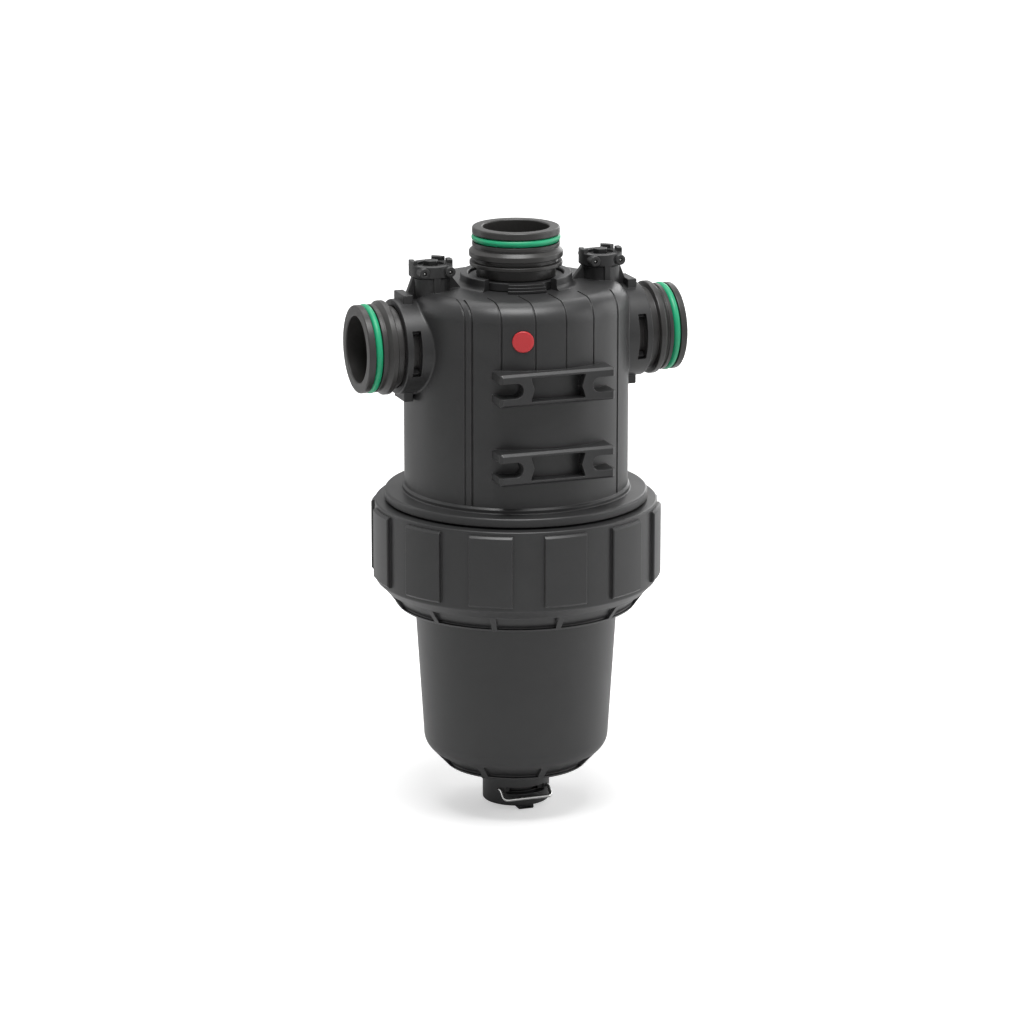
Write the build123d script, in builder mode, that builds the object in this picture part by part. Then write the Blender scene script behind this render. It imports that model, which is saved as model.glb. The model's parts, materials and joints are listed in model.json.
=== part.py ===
"""In-line mesh filter for liquid lines.

A moulded head with three clipped port nipples, two small gauge towers and two bracket
rails; a ring nut that draws the bowl up against the head; a mesh screen inside; and a
drain plug held in the bowl's foot by a wire clip.

Frame: millimetres, +Z up. The origin is the centre of the top port's mouth, the body's
axis is Z, the side ports lie along X and the bracket rails face the front, -Y.
"""
import os
from math import cos, radians, sin, sqrt

from build123d import *

os.makedirs("parts", exist_ok=True)

# Sizes of the head
body_radius = 73.2
body_wall = 5.0
shoulder_radius = 13.4
deck_drop = 37.6
port_drop = 73.6
bead_height = 2.4
bead_stand = 1.3
flange_top_drop = 173.5
flange_thickness = 5.8
flange_stand = 12.9
flange_draft = 1.6
skirt_stand = 6.8
skirt_length = 45.2

# Sizes of the port nipples, along each port's axis from its mouth
bore_radius = 21.6
nipple_wall = 4.1
land_stand = 2.8
ridge_stand = 2.0
second_ridge_stand = 1.7
neck_stand = 0.9
lip_length = 4.5
ring_groove_length = 5.2
ring_groove_depth = 4.2
land_length = 2.6
notch_length = 0.8
notch_depth = 0.8
ridge_cone_length = 2.6
ridge_length = 3.7
ridge_gap = 3.0
second_ridge_length = 2.6
side_neck_length = 5.0
spigot_length = 49.2
spigot_end_length = 2.2
clip_groove_depth = 2.0
inner_seal_length = 3.4
inner_seal_depth = 2.8
edge_break = 0.8

# Sizes of the sockets that take the nipples
socket_stand = 11.0
socket_gap = 25.0
top_socket_gap = 30.0
socket_wall = 4.8
side_clip_setback = 4.0
side_clip_width = 5.8
top_clip_setback = 1.8
top_clip_width = 6.0
clip_band = 4.5
window_half_height = 15.0
clip_tip_half_height = 12.0
lug_length = 6.4
lug_half_width = 10.0
lug_reach = 4.2
collar_clearance = 5.3
collar_wall = 5.3
passage_step = 1.0

# Clearances
spigot_clearance = 0.3
seal_clearance = 0.1
clip_clearance = 0.3
seat_gap = 0.3
plug_clearance = 0.3
wire_clearance = 0.3
wire_groove_clearance = 0.2

# Sizes of the bracket rails
rail_stand = 5.8
rail_half_length = 39.0
rail_height = 21.3
rail_spacing = 51.5
rail_top_drop = 90.4
rail_bevel = 1.6
rail_slot_width = 9.7
rail_slot_centre = 28.5
rail_window_half_length = 18.5
rail_window_height = 15.5
rail_window_notch = 2.4

# Sizes of the panel lines on the front
panel_line_pitch = 20.5
panel_line_first = -33.5
panel_line_count = 4
panel_line_width = 1.1
panel_line_depth = 0.9
outer_line_left = -49.4
outer_line_gap = 3.5
outer_line_right = 50.0

# Sizes of the mesh marker
marker_radius = 6.9
marker_offset = 20.8
marker_drop = 60.8
marker_length = 3.6
marker_stand = 1.2

# Sizes of the gauge towers
tower_setback = 14.8
tower_bore_radius = 9.8
tower_wall = 2.6
tower_collar_stand = 1.8
tower_top_drop = 20.8
collar_height = 7.3
crown_height = 2.7
crown_arc = 38.0
tower_bore_length = 20.0
pressure_hole_radius = 3.0
tower_wire_radius = 1.0
tower_wire_inset = 1.1
tower_wire_drop = 24.5
tower_bar_gap = 3.3
tower_eye_radius = 3.4
tower_eye_stand = 0.4
fin_thickness = 4.0
inner_fin_run = 7.0
tower_rib_width = 4.4
tower_rib_stand = 1.6

# Sizes of the ring nut
nut_gap = 1.3
thread_clearance = 0.6
nut_wall = 12.0
pad_stand = 2.6
pad_count = 12
pad_arc = 17.5
pad_top_setback = 2.8
pad_bottom_setback = 2.6
pad_chamfer = 1.4
shelf_clearance = 1.1
cone_drop = 2.0
cone_run = 5.7
underside_length = 11.5
underside_run = 8.3
nut_pocket_depth = 3.4
pocket_lip_depth = 1.3
pocket_lip = 1.7
nut_rib_width = 3.8

# Sizes of the bowl
bowl_seal_gap = 0.3
bowl_neck_setback = 3.0
bowl_neck_length = 18.5
bowl_neck_wall = 5.6
bowl_flange_stand = 9.2
bowl_flange_thickness = 6.2
bowl_top_setback = 2.3
bowl_depth = 118.0
bowl_draft = 6.9
bowl_wall = 4.0
bowl_corner = 8.0
base_inset = 3.4
base_lip_drop = 11.8
base_lip_radius = 46.6
base_pocket_depth = 4.4
base_lip_thickness = 1.8
base_rib_count = 8
base_rib_width = 5.0
boss_wall = 4.4
boss_length = 26.2
boss_ear_stand = 3.2
boss_ear_width = 8.0
boss_ear_height = 5.0
boss_ear_drop = 5.5
bowl_floor_thickness = 4.0
locating_ring_inner = 27.0
locating_ring_wall = 3.0
locating_ring_height = 4.5

# Sizes of the drain plug and its wire clip
drain_bore_radius = 17.8
drain_passage_radius = 9.0
drain_plug_length = 20.0
drain_wire_radius = 1.15
drain_wire_inset = 1.3
drain_wire_rise = 10.5
drain_wire_dip = 4.5
drain_bar_gap = 2.3
drain_wire_back = 11.0
drain_wire_knee = 17.0
wire_bend = 3.0
front_slot_margin = 2.9
front_slot_height = 4.6
tab_half_width = 5.3
tab_height = 2.6
tab_setback = 1.8
tab_slot_half_width = 3.4
tab_slot_height = 1.0

# Sizes of the screen inside
tube_wall = 4.4
tube_drop = 170.0
screen_cap_stand = 1.6
screen_cap_thickness = 5.0
screen_cap_drop = 158.0
screen_collar_wall = 5.0
screen_collar_length = 20.0
mesh_radius = 50.4
mesh_thickness = 0.6
cage_wall = 3.6
cage_rib_count = 12
cage_rib_width = 4.0
cage_ring_count = 5
cage_ring_height = 4.0

# Sizes of the seals' round sections
outer_seal_section = 2.3
inner_seal_section = 1.5
bowl_seal_section = 1.9
screen_seal_section = 1.2
plug_seal_section = 1.2

# Heights worked out from the sizes above
flange_bottom = -flange_top_drop - flange_thickness
skirt_end = flange_bottom - skirt_length
nut_top = flange_bottom - nut_gap
bowl_flange_top = skirt_end - bowl_seal_gap
bowl_flange_bottom = bowl_flange_top - bowl_flange_thickness
nut_shelf = bowl_flange_bottom - seat_gap
nut_cone_top = nut_shelf - cone_drop
nut_band = nut_cone_top - cone_run
nut_bottom = nut_band - underside_length
base_edge = bowl_flange_bottom - bowl_depth
base_bottom = base_edge - base_lip_drop
boss_bottom = base_bottom - boss_length
bowl_floor = base_edge + bowl_floor_thickness
tower_top = -tower_top_drop
tower_collar_bottom = tower_top - collar_height

# Radii and reaches worked out from the sizes above
spigot_radius = bore_radius + nipple_wall
land_radius = spigot_radius + land_stand
ridge_radius = land_radius + ridge_stand
second_ridge_radius = land_radius + second_ridge_stand
neck_radius = spigot_radius + neck_stand
ring_groove_radius = land_radius - ring_groove_depth
clip_groove_radius = spigot_radius - clip_groove_depth
inner_seal_floor = spigot_radius - inner_seal_depth
port_reach = body_radius + socket_stand + socket_gap
socket_bore = spigot_radius + spigot_clearance
socket_radius = socket_bore + socket_wall
skirt_radius = body_radius + skirt_stand
bowl_neck_radius = body_radius - bowl_neck_setback
bowl_top_radius = bowl_neck_radius - bowl_top_setback
skirt_bore = bowl_neck_radius + spigot_clearance
chamber_radius = body_radius - body_wall
nut_bore = skirt_radius + thread_clearance
nut_radius = nut_bore + nut_wall
pad_radius = nut_radius + pad_stand
nut_neck = bowl_top_radius + shelf_clearance
bowl_flange_radius = bowl_neck_radius + bowl_flange_stand
bowl_base_radius = bowl_top_radius - bowl_draft
tower_reach = body_radius - tower_setback
collar_bore_radius = spigot_radius + collar_clearance
collar_radius = collar_bore_radius + collar_wall
passage_radius = bore_radius + passage_step
tube_radius = passage_radius + tube_wall
rail_front = body_radius + rail_stand
tower_radius = tower_bore_radius + tower_wall
tower_collar_radius = tower_radius + tower_collar_stand
tower_wire_offset = tower_bore_radius - tower_wire_inset
boss_radius = drain_bore_radius + boss_wall
drain_wire_offset = drain_bore_radius - drain_wire_inset
drain_wire_front = boss_radius + drain_bar_gap
front_slot_half_width = drain_wire_offset - front_slot_margin
tab_front = boss_radius - tab_setback
screen_cap_radius = mesh_radius + screen_cap_stand

# The three ports: each plane's x runs outwards from the bore, its y out of the mouth
port_planes = {
    "left": Plane(origin=(-port_reach, 0, -port_drop), x_dir=(0, 0, 1), z_dir=(0, -1, 0)),
    "right": Plane(origin=(port_reach, 0, -port_drop), x_dir=(0, 0, 1), z_dir=(0, 1, 0)),
    "top": Plane(origin=(0, 0, 0), x_dir=(1, 0, 0), z_dir=(0, -1, 0)),
}
clip_starts = {
    "left": socket_gap + side_clip_setback,
    "right": socket_gap + side_clip_setback,
    "top": top_socket_gap + top_clip_setback,
}
clip_widths = {"left": side_clip_width, "right": side_clip_width, "top": top_clip_width}


def port_axis(name):
    """The line along a port, pointing out of its mouth."""
    plane = port_planes[name]
    return Axis(plane.origin, plane.y_dir)


def port_section(name, depth):
    """A plane across a port, a depth inside its mouth, with x towards the front."""
    plane = port_planes[name]
    return Plane(origin=plane.origin - plane.y_dir * depth, x_dir=(0, -1, 0), z_dir=plane.y_dir)


# Port nipples: a clipped spigot with a sealing land, a ridge and a plain bore
groove_start = lip_length
groove_end = lip_length + ring_groove_length
land_end = groove_end + land_length
notch_end = land_end + notch_length
cone_end = notch_end + ridge_cone_length
ridge_end = cone_end + ridge_length
inner_seal_end = spigot_length - spigot_end_length
inner_seal_start = inner_seal_end - inner_seal_length
second_ridge_start = ridge_end + ridge_gap
second_ridge_end = second_ridge_start + second_ridge_length
side_neck_end = ridge_end + side_neck_length

# Below its ridge a side nipple has a plain neck, and the top one has a second ridge
side_neck = [
    (neck_radius, -side_neck_end),
    (spigot_radius, -side_neck_end),
]
top_neck = [
    (neck_radius, -second_ridge_start),
    (second_ridge_radius, -second_ridge_start),
    (second_ridge_radius, -second_ridge_end),
    (spigot_radius, -second_ridge_end),
]
neck_points = {"left": side_neck, "right": side_neck, "top": top_neck}

for name, plane in port_planes.items():
    clip_start = clip_starts[name]
    clip_end = clip_start + clip_widths[name]
    with BuildPart() as nipple:
        with BuildSketch(plane):
            with BuildLine():
                Polyline(
                    (bore_radius, 0),
                    (land_radius - edge_break, 0),
                    (land_radius, -edge_break),
                    (land_radius, -groove_start),
                    (ring_groove_radius, -groove_start),
                    (ring_groove_radius, -groove_end),
                    (land_radius, -groove_end),
                    (land_radius, -land_end),
                    (land_radius - notch_depth, -land_end),
                    (land_radius - notch_depth, -notch_end),
                    (ridge_radius, -cone_end),
                    (ridge_radius, -ridge_end),
                    (neck_radius, -ridge_end),
                    *neck_points[name],
                    (spigot_radius, -clip_start),
                    (clip_groove_radius, -clip_start),
                    (clip_groove_radius, -clip_end),
                    (spigot_radius, -clip_end),
                    (spigot_radius, -inner_seal_start),
                    (inner_seal_floor, -inner_seal_start),
                    (inner_seal_floor, -inner_seal_end),
                    (spigot_radius, -inner_seal_end),
                    (spigot_radius, -spigot_length),
                    (bore_radius, -spigot_length),
                    close=True,
                )
            make_face()
        revolve(axis=port_axis(name))
    nipple.part.label = name + "_nipple"
    export_step(nipple.part, "parts/" + name + "_nipple.step")

    # Sealing ring in the nipple's outer groove
    with BuildPart() as outer_seal:
        with BuildSketch(plane):
            with Locations((ring_groove_radius + outer_seal_section, -(groove_start + groove_end) / 2)):
                Circle(outer_seal_section)
        revolve(axis=port_axis(name))
    outer_seal.part.label = name + "_outer_seal"
    export_step(outer_seal.part, "parts/" + name + "_outer_seal.step")

    # Sealing ring between the spigot and its socket
    inner_seal_radius = socket_bore - seal_clearance - inner_seal_section
    with BuildPart() as inner_seal:
        with BuildSketch(plane):
            with Locations((inner_seal_radius, -(inner_seal_start + inner_seal_end) / 2)):
                Circle(inner_seal_section)
        revolve(axis=port_axis(name))
    inner_seal.part.label = name + "_inner_seal"
    export_step(inner_seal.part, "parts/" + name + "_inner_seal.step")

# Side clips: an open ring that lies in the spigot's groove, its tips in the front window
clip_bore = clip_groove_radius + clip_clearance
side_clip_radius = clip_bore + clip_band
for name in ("left", "right"):
    clip_depth = clip_starts[name] + clip_widths[name] - clip_clearance
    with BuildPart() as side_clip:
        with BuildSketch(port_section(name, clip_depth)):
            Circle(side_clip_radius)
            Circle(clip_bore, mode=Mode.SUBTRACT)
            with Locations((side_clip_radius / 2, 0)):
                Rectangle(side_clip_radius, 2 * clip_tip_half_height, mode=Mode.SUBTRACT)
            with Locations((-socket_radius, 0)):
                Rectangle(2 * lug_reach, socket_bore)
            Circle(clip_bore, mode=Mode.SUBTRACT)
        extrude(amount=clip_widths[name] - 2 * clip_clearance)
    side_clip.part.label = name + "_clip"
    export_step(side_clip.part, "parts/" + name + "_clip.step")

# Top clip: an open ring round the neck, with a stepped handle in the collar's front gap
handle_start = -28.0
handle_end = 12.0
collar_gap_start = -54.0
collar_gap_end = 26.0
collar_gap_arc = collar_gap_end - collar_gap_start
clip_opening = 50.0
top_clip_radius = collar_bore_radius - clip_clearance
top_clip_bottom = -(clip_starts["top"] + clip_widths["top"] - clip_clearance)
top_clip_height = clip_widths["top"] - 2 * clip_clearance
handle_radius = collar_radius + edge_break
handle_step = 1.2
handle_plane = Plane(origin=(0, 0, top_clip_bottom), x_dir=(0, -1, 0), z_dir=(0, 0, 1))
with BuildPart() as top_clip:
    with BuildSketch(handle_plane):
        Circle(top_clip_radius)
        Circle(clip_bore, mode=Mode.SUBTRACT)
        with Locations((-top_clip_radius / 2, 0)):
            Rectangle(top_clip_radius, clip_opening * cos(radians(clip_opening)), mode=Mode.SUBTRACT)
    extrude(amount=top_clip_height)
    for layer in range(3):
        layer_radius = handle_radius - layer * handle_step
        layer_height = top_clip_height / 3
        layer_plane = handle_plane.offset(layer * layer_height)
        with BuildSketch(layer_plane.rotated((0, 0, handle_start))):
            with BuildLine():
                outer = CenterArc((0, 0), layer_radius, 0, handle_end - handle_start)
                inner = CenterArc((0, 0), clip_bore + clip_band, 0, handle_end - handle_start)
                Line(outer @ 0, inner @ 0)
                Line(outer @ 1, inner @ 1)
            make_face()
        extrude(amount=layer_height)
top_clip.part.label = "top_clip"
export_step(top_clip.part, "parts/top_clip.step")

# Bracket rails, without their slots: a bevelled bar that reaches back into the body
rail_heights = (-rail_top_drop, -rail_top_drop - rail_spacing)
rail_back = sqrt(body_radius**2 - rail_half_length**2) - body_wall / 2
slot_radius = rail_slot_width / 2
slot_reach = rail_half_length - rail_slot_centre + rail_bevel
rail_front_plane = Plane(origin=(0, -rail_front, 0), x_dir=(1, 0, 0), z_dir=(0, -1, 0))
with BuildPart() as rails:
    for height in rail_heights:
        with BuildSketch(rail_front_plane.offset(rail_back - rail_front)):
            with Locations((0, height)):
                Rectangle(2 * rail_half_length, rail_height)
        extrude(amount=rail_front - rail_back)
    chamfer(rails.faces().group_by(Axis.Y)[0].edges(), rail_bevel)
    with BuildSketch(rail_front_plane):
        for height in rail_heights:
            for side in (-1, 1):
                with Locations((side * rail_slot_centre, height)):
                    Circle(slot_radius)
                with Locations((side * (rail_slot_centre + slot_reach / 2), height)):
                    Rectangle(slot_reach, rail_slot_width)
            with BuildLine():
                Polyline(
                    (-rail_window_half_length, height - rail_window_height / 2),
                    (rail_window_half_length, height - rail_window_height / 2),
                    (rail_window_half_length - rail_window_notch, height),
                    (rail_window_half_length, height + rail_window_height / 2),
                    (-rail_window_half_length, height + rail_window_height / 2),
                    (-rail_window_half_length + rail_window_notch, height),
                    close=True,
                )
            make_face()
    extrude(amount=-rail_front, mode=Mode.SUBTRACT)

# Outer form of the head, as a body of revolution
bead_radius = body_radius + bead_stand
flange_radius = body_radius + flange_stand
with BuildPart() as head_form:
    with BuildSketch(Plane.XZ):
        with BuildLine():
            deck = Line((0, -deck_drop), (body_radius - shoulder_radius, -deck_drop))
            shoulder = JernArc(start=deck @ 1, tangent=deck % 1, radius=shoulder_radius, arc_size=-90)
            Polyline(
                shoulder @ 1,
                (body_radius, -flange_top_drop + bead_height + bead_stand),
                (bead_radius, -flange_top_drop + bead_height),
                (bead_radius, -flange_top_drop),
                (flange_radius - flange_draft, -flange_top_drop),
                (flange_radius, -flange_top_drop - flange_draft),
                (flange_radius, flange_bottom),
                (skirt_radius, flange_bottom),
                (skirt_radius, skirt_end),
                (0, skirt_end),
                (0, -deck_drop),
            )
        make_face()
    revolve(axis=Axis.Z)

# Panel lines: fine grooves that follow the shoulder and the front of the body
line_bottoms = {}
for index in range(panel_line_count):
    line_bottoms[panel_line_first + index * panel_line_pitch] = rail_heights[0]
for offset_x in (outer_line_left - outer_line_gap, outer_line_left, outer_line_right):
    line_bottoms[offset_x] = -flange_top_drop + bead_height + bead_stand
line_floor = -deck_drop - panel_line_depth
inner_radius = shoulder_radius - panel_line_depth
with BuildPart() as panel_lines:
    for offset_x, bottom in line_bottoms.items():
        line_height = -deck_drop - bottom
        with BuildSketch(Plane.XY.offset(bottom)):
            with Locations((offset_x, -body_radius / 2)):
                Rectangle(panel_line_width, body_radius)
        extrude(amount=line_height)
    with BuildSketch(Plane.XZ):
        with BuildLine():
            inner_deck = Line((0, line_floor), (body_radius - shoulder_radius, line_floor))
            inner_shoulder = JernArc(inner_deck @ 1, inner_deck % 1, inner_radius, -90)
            Polyline(
                inner_shoulder @ 1,
                (body_radius - panel_line_depth, skirt_end),
                (0, skirt_end),
                (0, line_floor),
            )
        make_face()
    revolve(axis=Axis.Z, mode=Mode.SUBTRACT)

# Head: housing with sockets, towers, rails and the inner outlet tube
chamber_roof = -deck_drop - body_wall - socket_wall
chamber_shoulder = shoulder_radius - body_wall
neck_room = bowl_neck_length + bowl_neck_wall
side_socket_end = port_reach - socket_gap
spigot_shoulder = port_reach - spigot_length
socket_inner_end = spigot_shoulder - socket_wall
marker_angle = -marker_offset / body_radius
marker_direction = Vector(marker_angle, -sqrt(1 - marker_angle**2), 0)
marker_seat = marker_direction * (body_radius + marker_stand - marker_length) + Vector(0, 0, -marker_drop)
marker_plane = Plane(origin=marker_seat, x_dir=(0, 0, 1), z_dir=marker_direction)
lug_start = side_socket_end - side_clip_setback - lug_length

with BuildPart() as head:
    add(head_form.part)
    add(rails.part)
    # Side sockets and their lugs
    for side in (-1, 1):
        socket_mouth = Vector(side * side_socket_end, 0, -port_drop)
        socket_plane = Plane(origin=socket_mouth, x_dir=(0, 1, 0), z_dir=(side, 0, 0))
        with BuildSketch(socket_plane):
            Circle(socket_radius)
        extrude(amount=-side_socket_end / 2)
        with BuildSketch(socket_plane.offset(-side_clip_setback)):
            for end in (-1, 1):
                with Locations((0, end * (socket_radius + lug_reach / 2 - socket_wall / 2))):
                    Rectangle(2 * lug_half_width, lug_reach + socket_wall)
        extrude(amount=-lug_length)
    # Collar round the top socket
    with BuildSketch(Plane.XY.offset(-deck_drop - body_wall)):
        Circle(collar_radius)
    extrude(amount=deck_drop + body_wall - top_socket_gap)
    # Gauge towers with their collars
    for side in (-1, 1):
        with BuildSketch(Plane.XY.offset(-port_drop + socket_bore)):
            with Locations((side * tower_reach, 0)):
                Circle(tower_radius)
        extrude(amount=port_drop - socket_bore + tower_collar_bottom)
        with BuildSketch(Plane.XY.offset(tower_collar_bottom)):
            with Locations((side * tower_reach, 0)):
                Circle(tower_collar_radius)
        extrude(amount=collar_height)
        # Two eyes on the collar's front take the tips of the wire clip
        eye_centre = Vector(side * tower_reach, 0, -tower_wire_drop)
        with BuildSketch(Plane(origin=eye_centre, x_dir=(1, 0, 0), z_dir=(0, -1, 0))):
            with GridLocations(2 * tower_wire_offset, 0, 2, 1):
                Circle(tower_eye_radius)
        extrude(amount=tower_collar_radius + tower_eye_stand)
        # A rib down the tower's front
        with BuildSketch(Plane.XY.offset(-port_drop + socket_bore)):
            with Locations((side * tower_reach, -tower_radius)):
                Rectangle(tower_rib_width, 2 * tower_rib_stand)
        extrude(amount=port_drop - socket_bore + tower_collar_bottom)
        # Fins along the port, outwards to the lugs and inwards to the deck
        with BuildSketch(Plane.XZ.offset(-fin_thickness / 2)):
            with BuildLine():
                Polyline(
                    (side * (tower_reach - tower_radius / 2), tower_collar_bottom),
                    (side * (tower_reach - tower_radius), tower_collar_bottom),
                    (side * (tower_reach - tower_radius - inner_fin_run), -deck_drop),
                    (side * (tower_reach - tower_radius - inner_fin_run), -deck_drop - body_wall / 2),
                    (side * (tower_reach - tower_radius / 2), -deck_drop - body_wall / 2),
                    close=True,
                )
            make_face()
            with BuildLine():
                Polyline(
                    (side * (tower_reach + tower_radius / 2), tower_collar_bottom),
                    (side * (tower_reach + tower_radius), tower_collar_bottom),
                    (side * (lug_start + edge_break), -port_drop + socket_radius + lug_reach / 2),
                    (side * (lug_start + edge_break), -port_drop + socket_bore),
                    (side * (tower_reach + tower_radius / 2), -port_drop + socket_bore),
                    close=True,
                )
            make_face()
        extrude(amount=fin_thickness)
    # Chamber, open below for the bowl's neck
    with BuildSketch(Plane.XZ):
        with BuildLine():
            roof = Line((0, chamber_roof), (chamber_radius - chamber_shoulder, chamber_roof))
            roof_corner = JernArc(start=roof @ 1, tangent=roof % 1, radius=chamber_shoulder, arc_size=-90)
            Polyline(
                roof_corner @ 1,
                (chamber_radius, skirt_end + neck_room),
                (skirt_bore, skirt_end + neck_room),
                (skirt_bore, skirt_end),
                (0, skirt_end),
                (0, chamber_roof),
            )
        make_face()
    revolve(axis=Axis.Z, mode=Mode.SUBTRACT)
    # Outlet tube down to the screen, and the inner ends of the side sockets
    with BuildSketch(Plane.XY.offset(chamber_roof + socket_wall)):
        Circle(tube_radius)
    extrude(amount=-(tube_drop + chamber_roof + socket_wall))
    for side in (-1, 1):
        with BuildSketch(Plane(origin=(side * socket_inner_end, 0, -port_drop), z_dir=(side, 0, 0))):
            Circle(socket_radius)
        extrude(amount=body_radius - socket_inner_end)
    # Bores of the three ports, down to each spigot's shoulder
    with BuildSketch(Plane.XY):
        Circle(passage_radius)
    extrude(amount=-tube_drop, mode=Mode.SUBTRACT)
    with BuildSketch(Plane.XY.offset(-spigot_length - seat_gap)):
        Circle(socket_bore)
    extrude(amount=spigot_length + seat_gap, mode=Mode.SUBTRACT)
    for side in (-1, 1):
        with BuildSketch(Plane(origin=(side * tube_radius, 0, -port_drop), z_dir=(side, 0, 0))):
            Circle(passage_radius)
        extrude(amount=port_reach - tube_radius, mode=Mode.SUBTRACT)
        bore_floor = Vector(side * (spigot_shoulder - seat_gap), 0, -port_drop)
        with BuildSketch(Plane(origin=bore_floor, z_dir=(side, 0, 0))):
            Circle(socket_bore)
        extrude(amount=spigot_length + seat_gap, mode=Mode.SUBTRACT)
    # Room for the clips: a groove, a front window and a back slot in each side socket
    for name in ("left", "right"):
        clip_depth = clip_starts[name] + clip_widths[name]
        with BuildSketch(port_section(name, clip_depth)):
            Circle(side_clip_radius + clip_clearance)
            with Locations((socket_radius, 0)):
                Rectangle(2 * socket_wall, 2 * window_half_height)
            with Locations((-socket_radius, 0)):
                Rectangle(2 * socket_radius, socket_bore + 2 * clip_clearance)
        extrude(amount=clip_widths[name], mode=Mode.SUBTRACT)
    # Counterbore of the top collar and its front gap
    with BuildSketch(Plane.XY.offset(-(clip_starts["top"] + clip_widths["top"]))):
        Circle(collar_bore_radius)
    extrude(amount=deck_drop, mode=Mode.SUBTRACT)
    gap_plane = Plane(origin=(0, 0, -deck_drop), x_dir=(0, -1, 0), z_dir=(0, 0, 1))
    with BuildSketch(gap_plane.rotated((0, 0, collar_gap_start))):
        with BuildLine():
            gap_outer = CenterArc((0, 0), collar_radius + edge_break, 0, collar_gap_arc)
            gap_inner = CenterArc((0, 0), collar_bore_radius - edge_break, 0, collar_gap_arc)
            Line(gap_outer @ 0, gap_inner @ 0)
            Line(gap_outer @ 1, gap_inner @ 1)
        make_face()
    extrude(amount=deck_drop, mode=Mode.SUBTRACT)
    # Bores of the gauge towers, the holes for their wire clips and the pressure holes
    for side in (-1, 1):
        with BuildSketch(Plane.XY.offset(tower_top - tower_bore_length)):
            with Locations((side * tower_reach, 0)):
                Circle(tower_bore_radius)
        extrude(amount=tower_bore_length, mode=Mode.SUBTRACT)
        with BuildSketch(Plane.XY.offset(-port_drop)):
            with Locations((side * tower_reach, 0)):
                Circle(pressure_hole_radius)
        extrude(amount=port_drop + tower_top, mode=Mode.SUBTRACT)
        hole_centre = Vector(side * tower_reach, 0, -tower_wire_drop)
        with BuildSketch(Plane(origin=hole_centre, x_dir=(1, 0, 0), z_dir=(0, -1, 0))):
            with GridLocations(2 * tower_wire_offset, 0, 2, 1):
                Circle(tower_wire_radius + wire_clearance)
        extrude(amount=2 * tower_collar_radius, both=True, mode=Mode.SUBTRACT)
    # Crowns: each collar's rim stands up in three tabs
    crown_angles = (80, 140, 270)
    for side in (-1, 1):
        for angle in crown_angles:
            crown_plane = Plane(origin=(side * tower_reach, 0, tower_top), x_dir=(0, -1, 0), z_dir=(0, 0, 1))
            with BuildSketch(crown_plane.rotated((0, 0, angle - crown_arc / 2))):
                with BuildLine():
                    tab_outer = CenterArc((0, 0), tower_collar_radius, 0, crown_arc)
                    tab_inner = CenterArc((0, 0), tower_bore_radius + edge_break, 0, crown_arc)
                    Line(tab_outer @ 0, tab_inner @ 0)
                    Line(tab_outer @ 1, tab_inner @ 1)
                make_face()
            extrude(amount=crown_height)
    add(panel_lines.part, mode=Mode.SUBTRACT)
    # Seat of the mesh marker
    with BuildSketch(marker_plane.offset(-seal_clearance)):
        Circle(marker_radius + seal_clearance)
    extrude(amount=marker_length + marker_stand, mode=Mode.SUBTRACT)
head.part.label = "head"
export_step(head.part, "parts/head.step")

# Mesh marker: a round snap-in plug whose colour tells the screen's mesh
with BuildPart() as marker:
    with BuildSketch(marker_plane):
        Circle(marker_radius)
    extrude(amount=marker_length)
    fillet(marker.faces().sort_by(Axis(marker_plane.origin, marker_direction))[-1].edges(), edge_break)
marker.part.label = "mesh_marker"
export_step(marker.part, "parts/mesh_marker.step")

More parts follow.
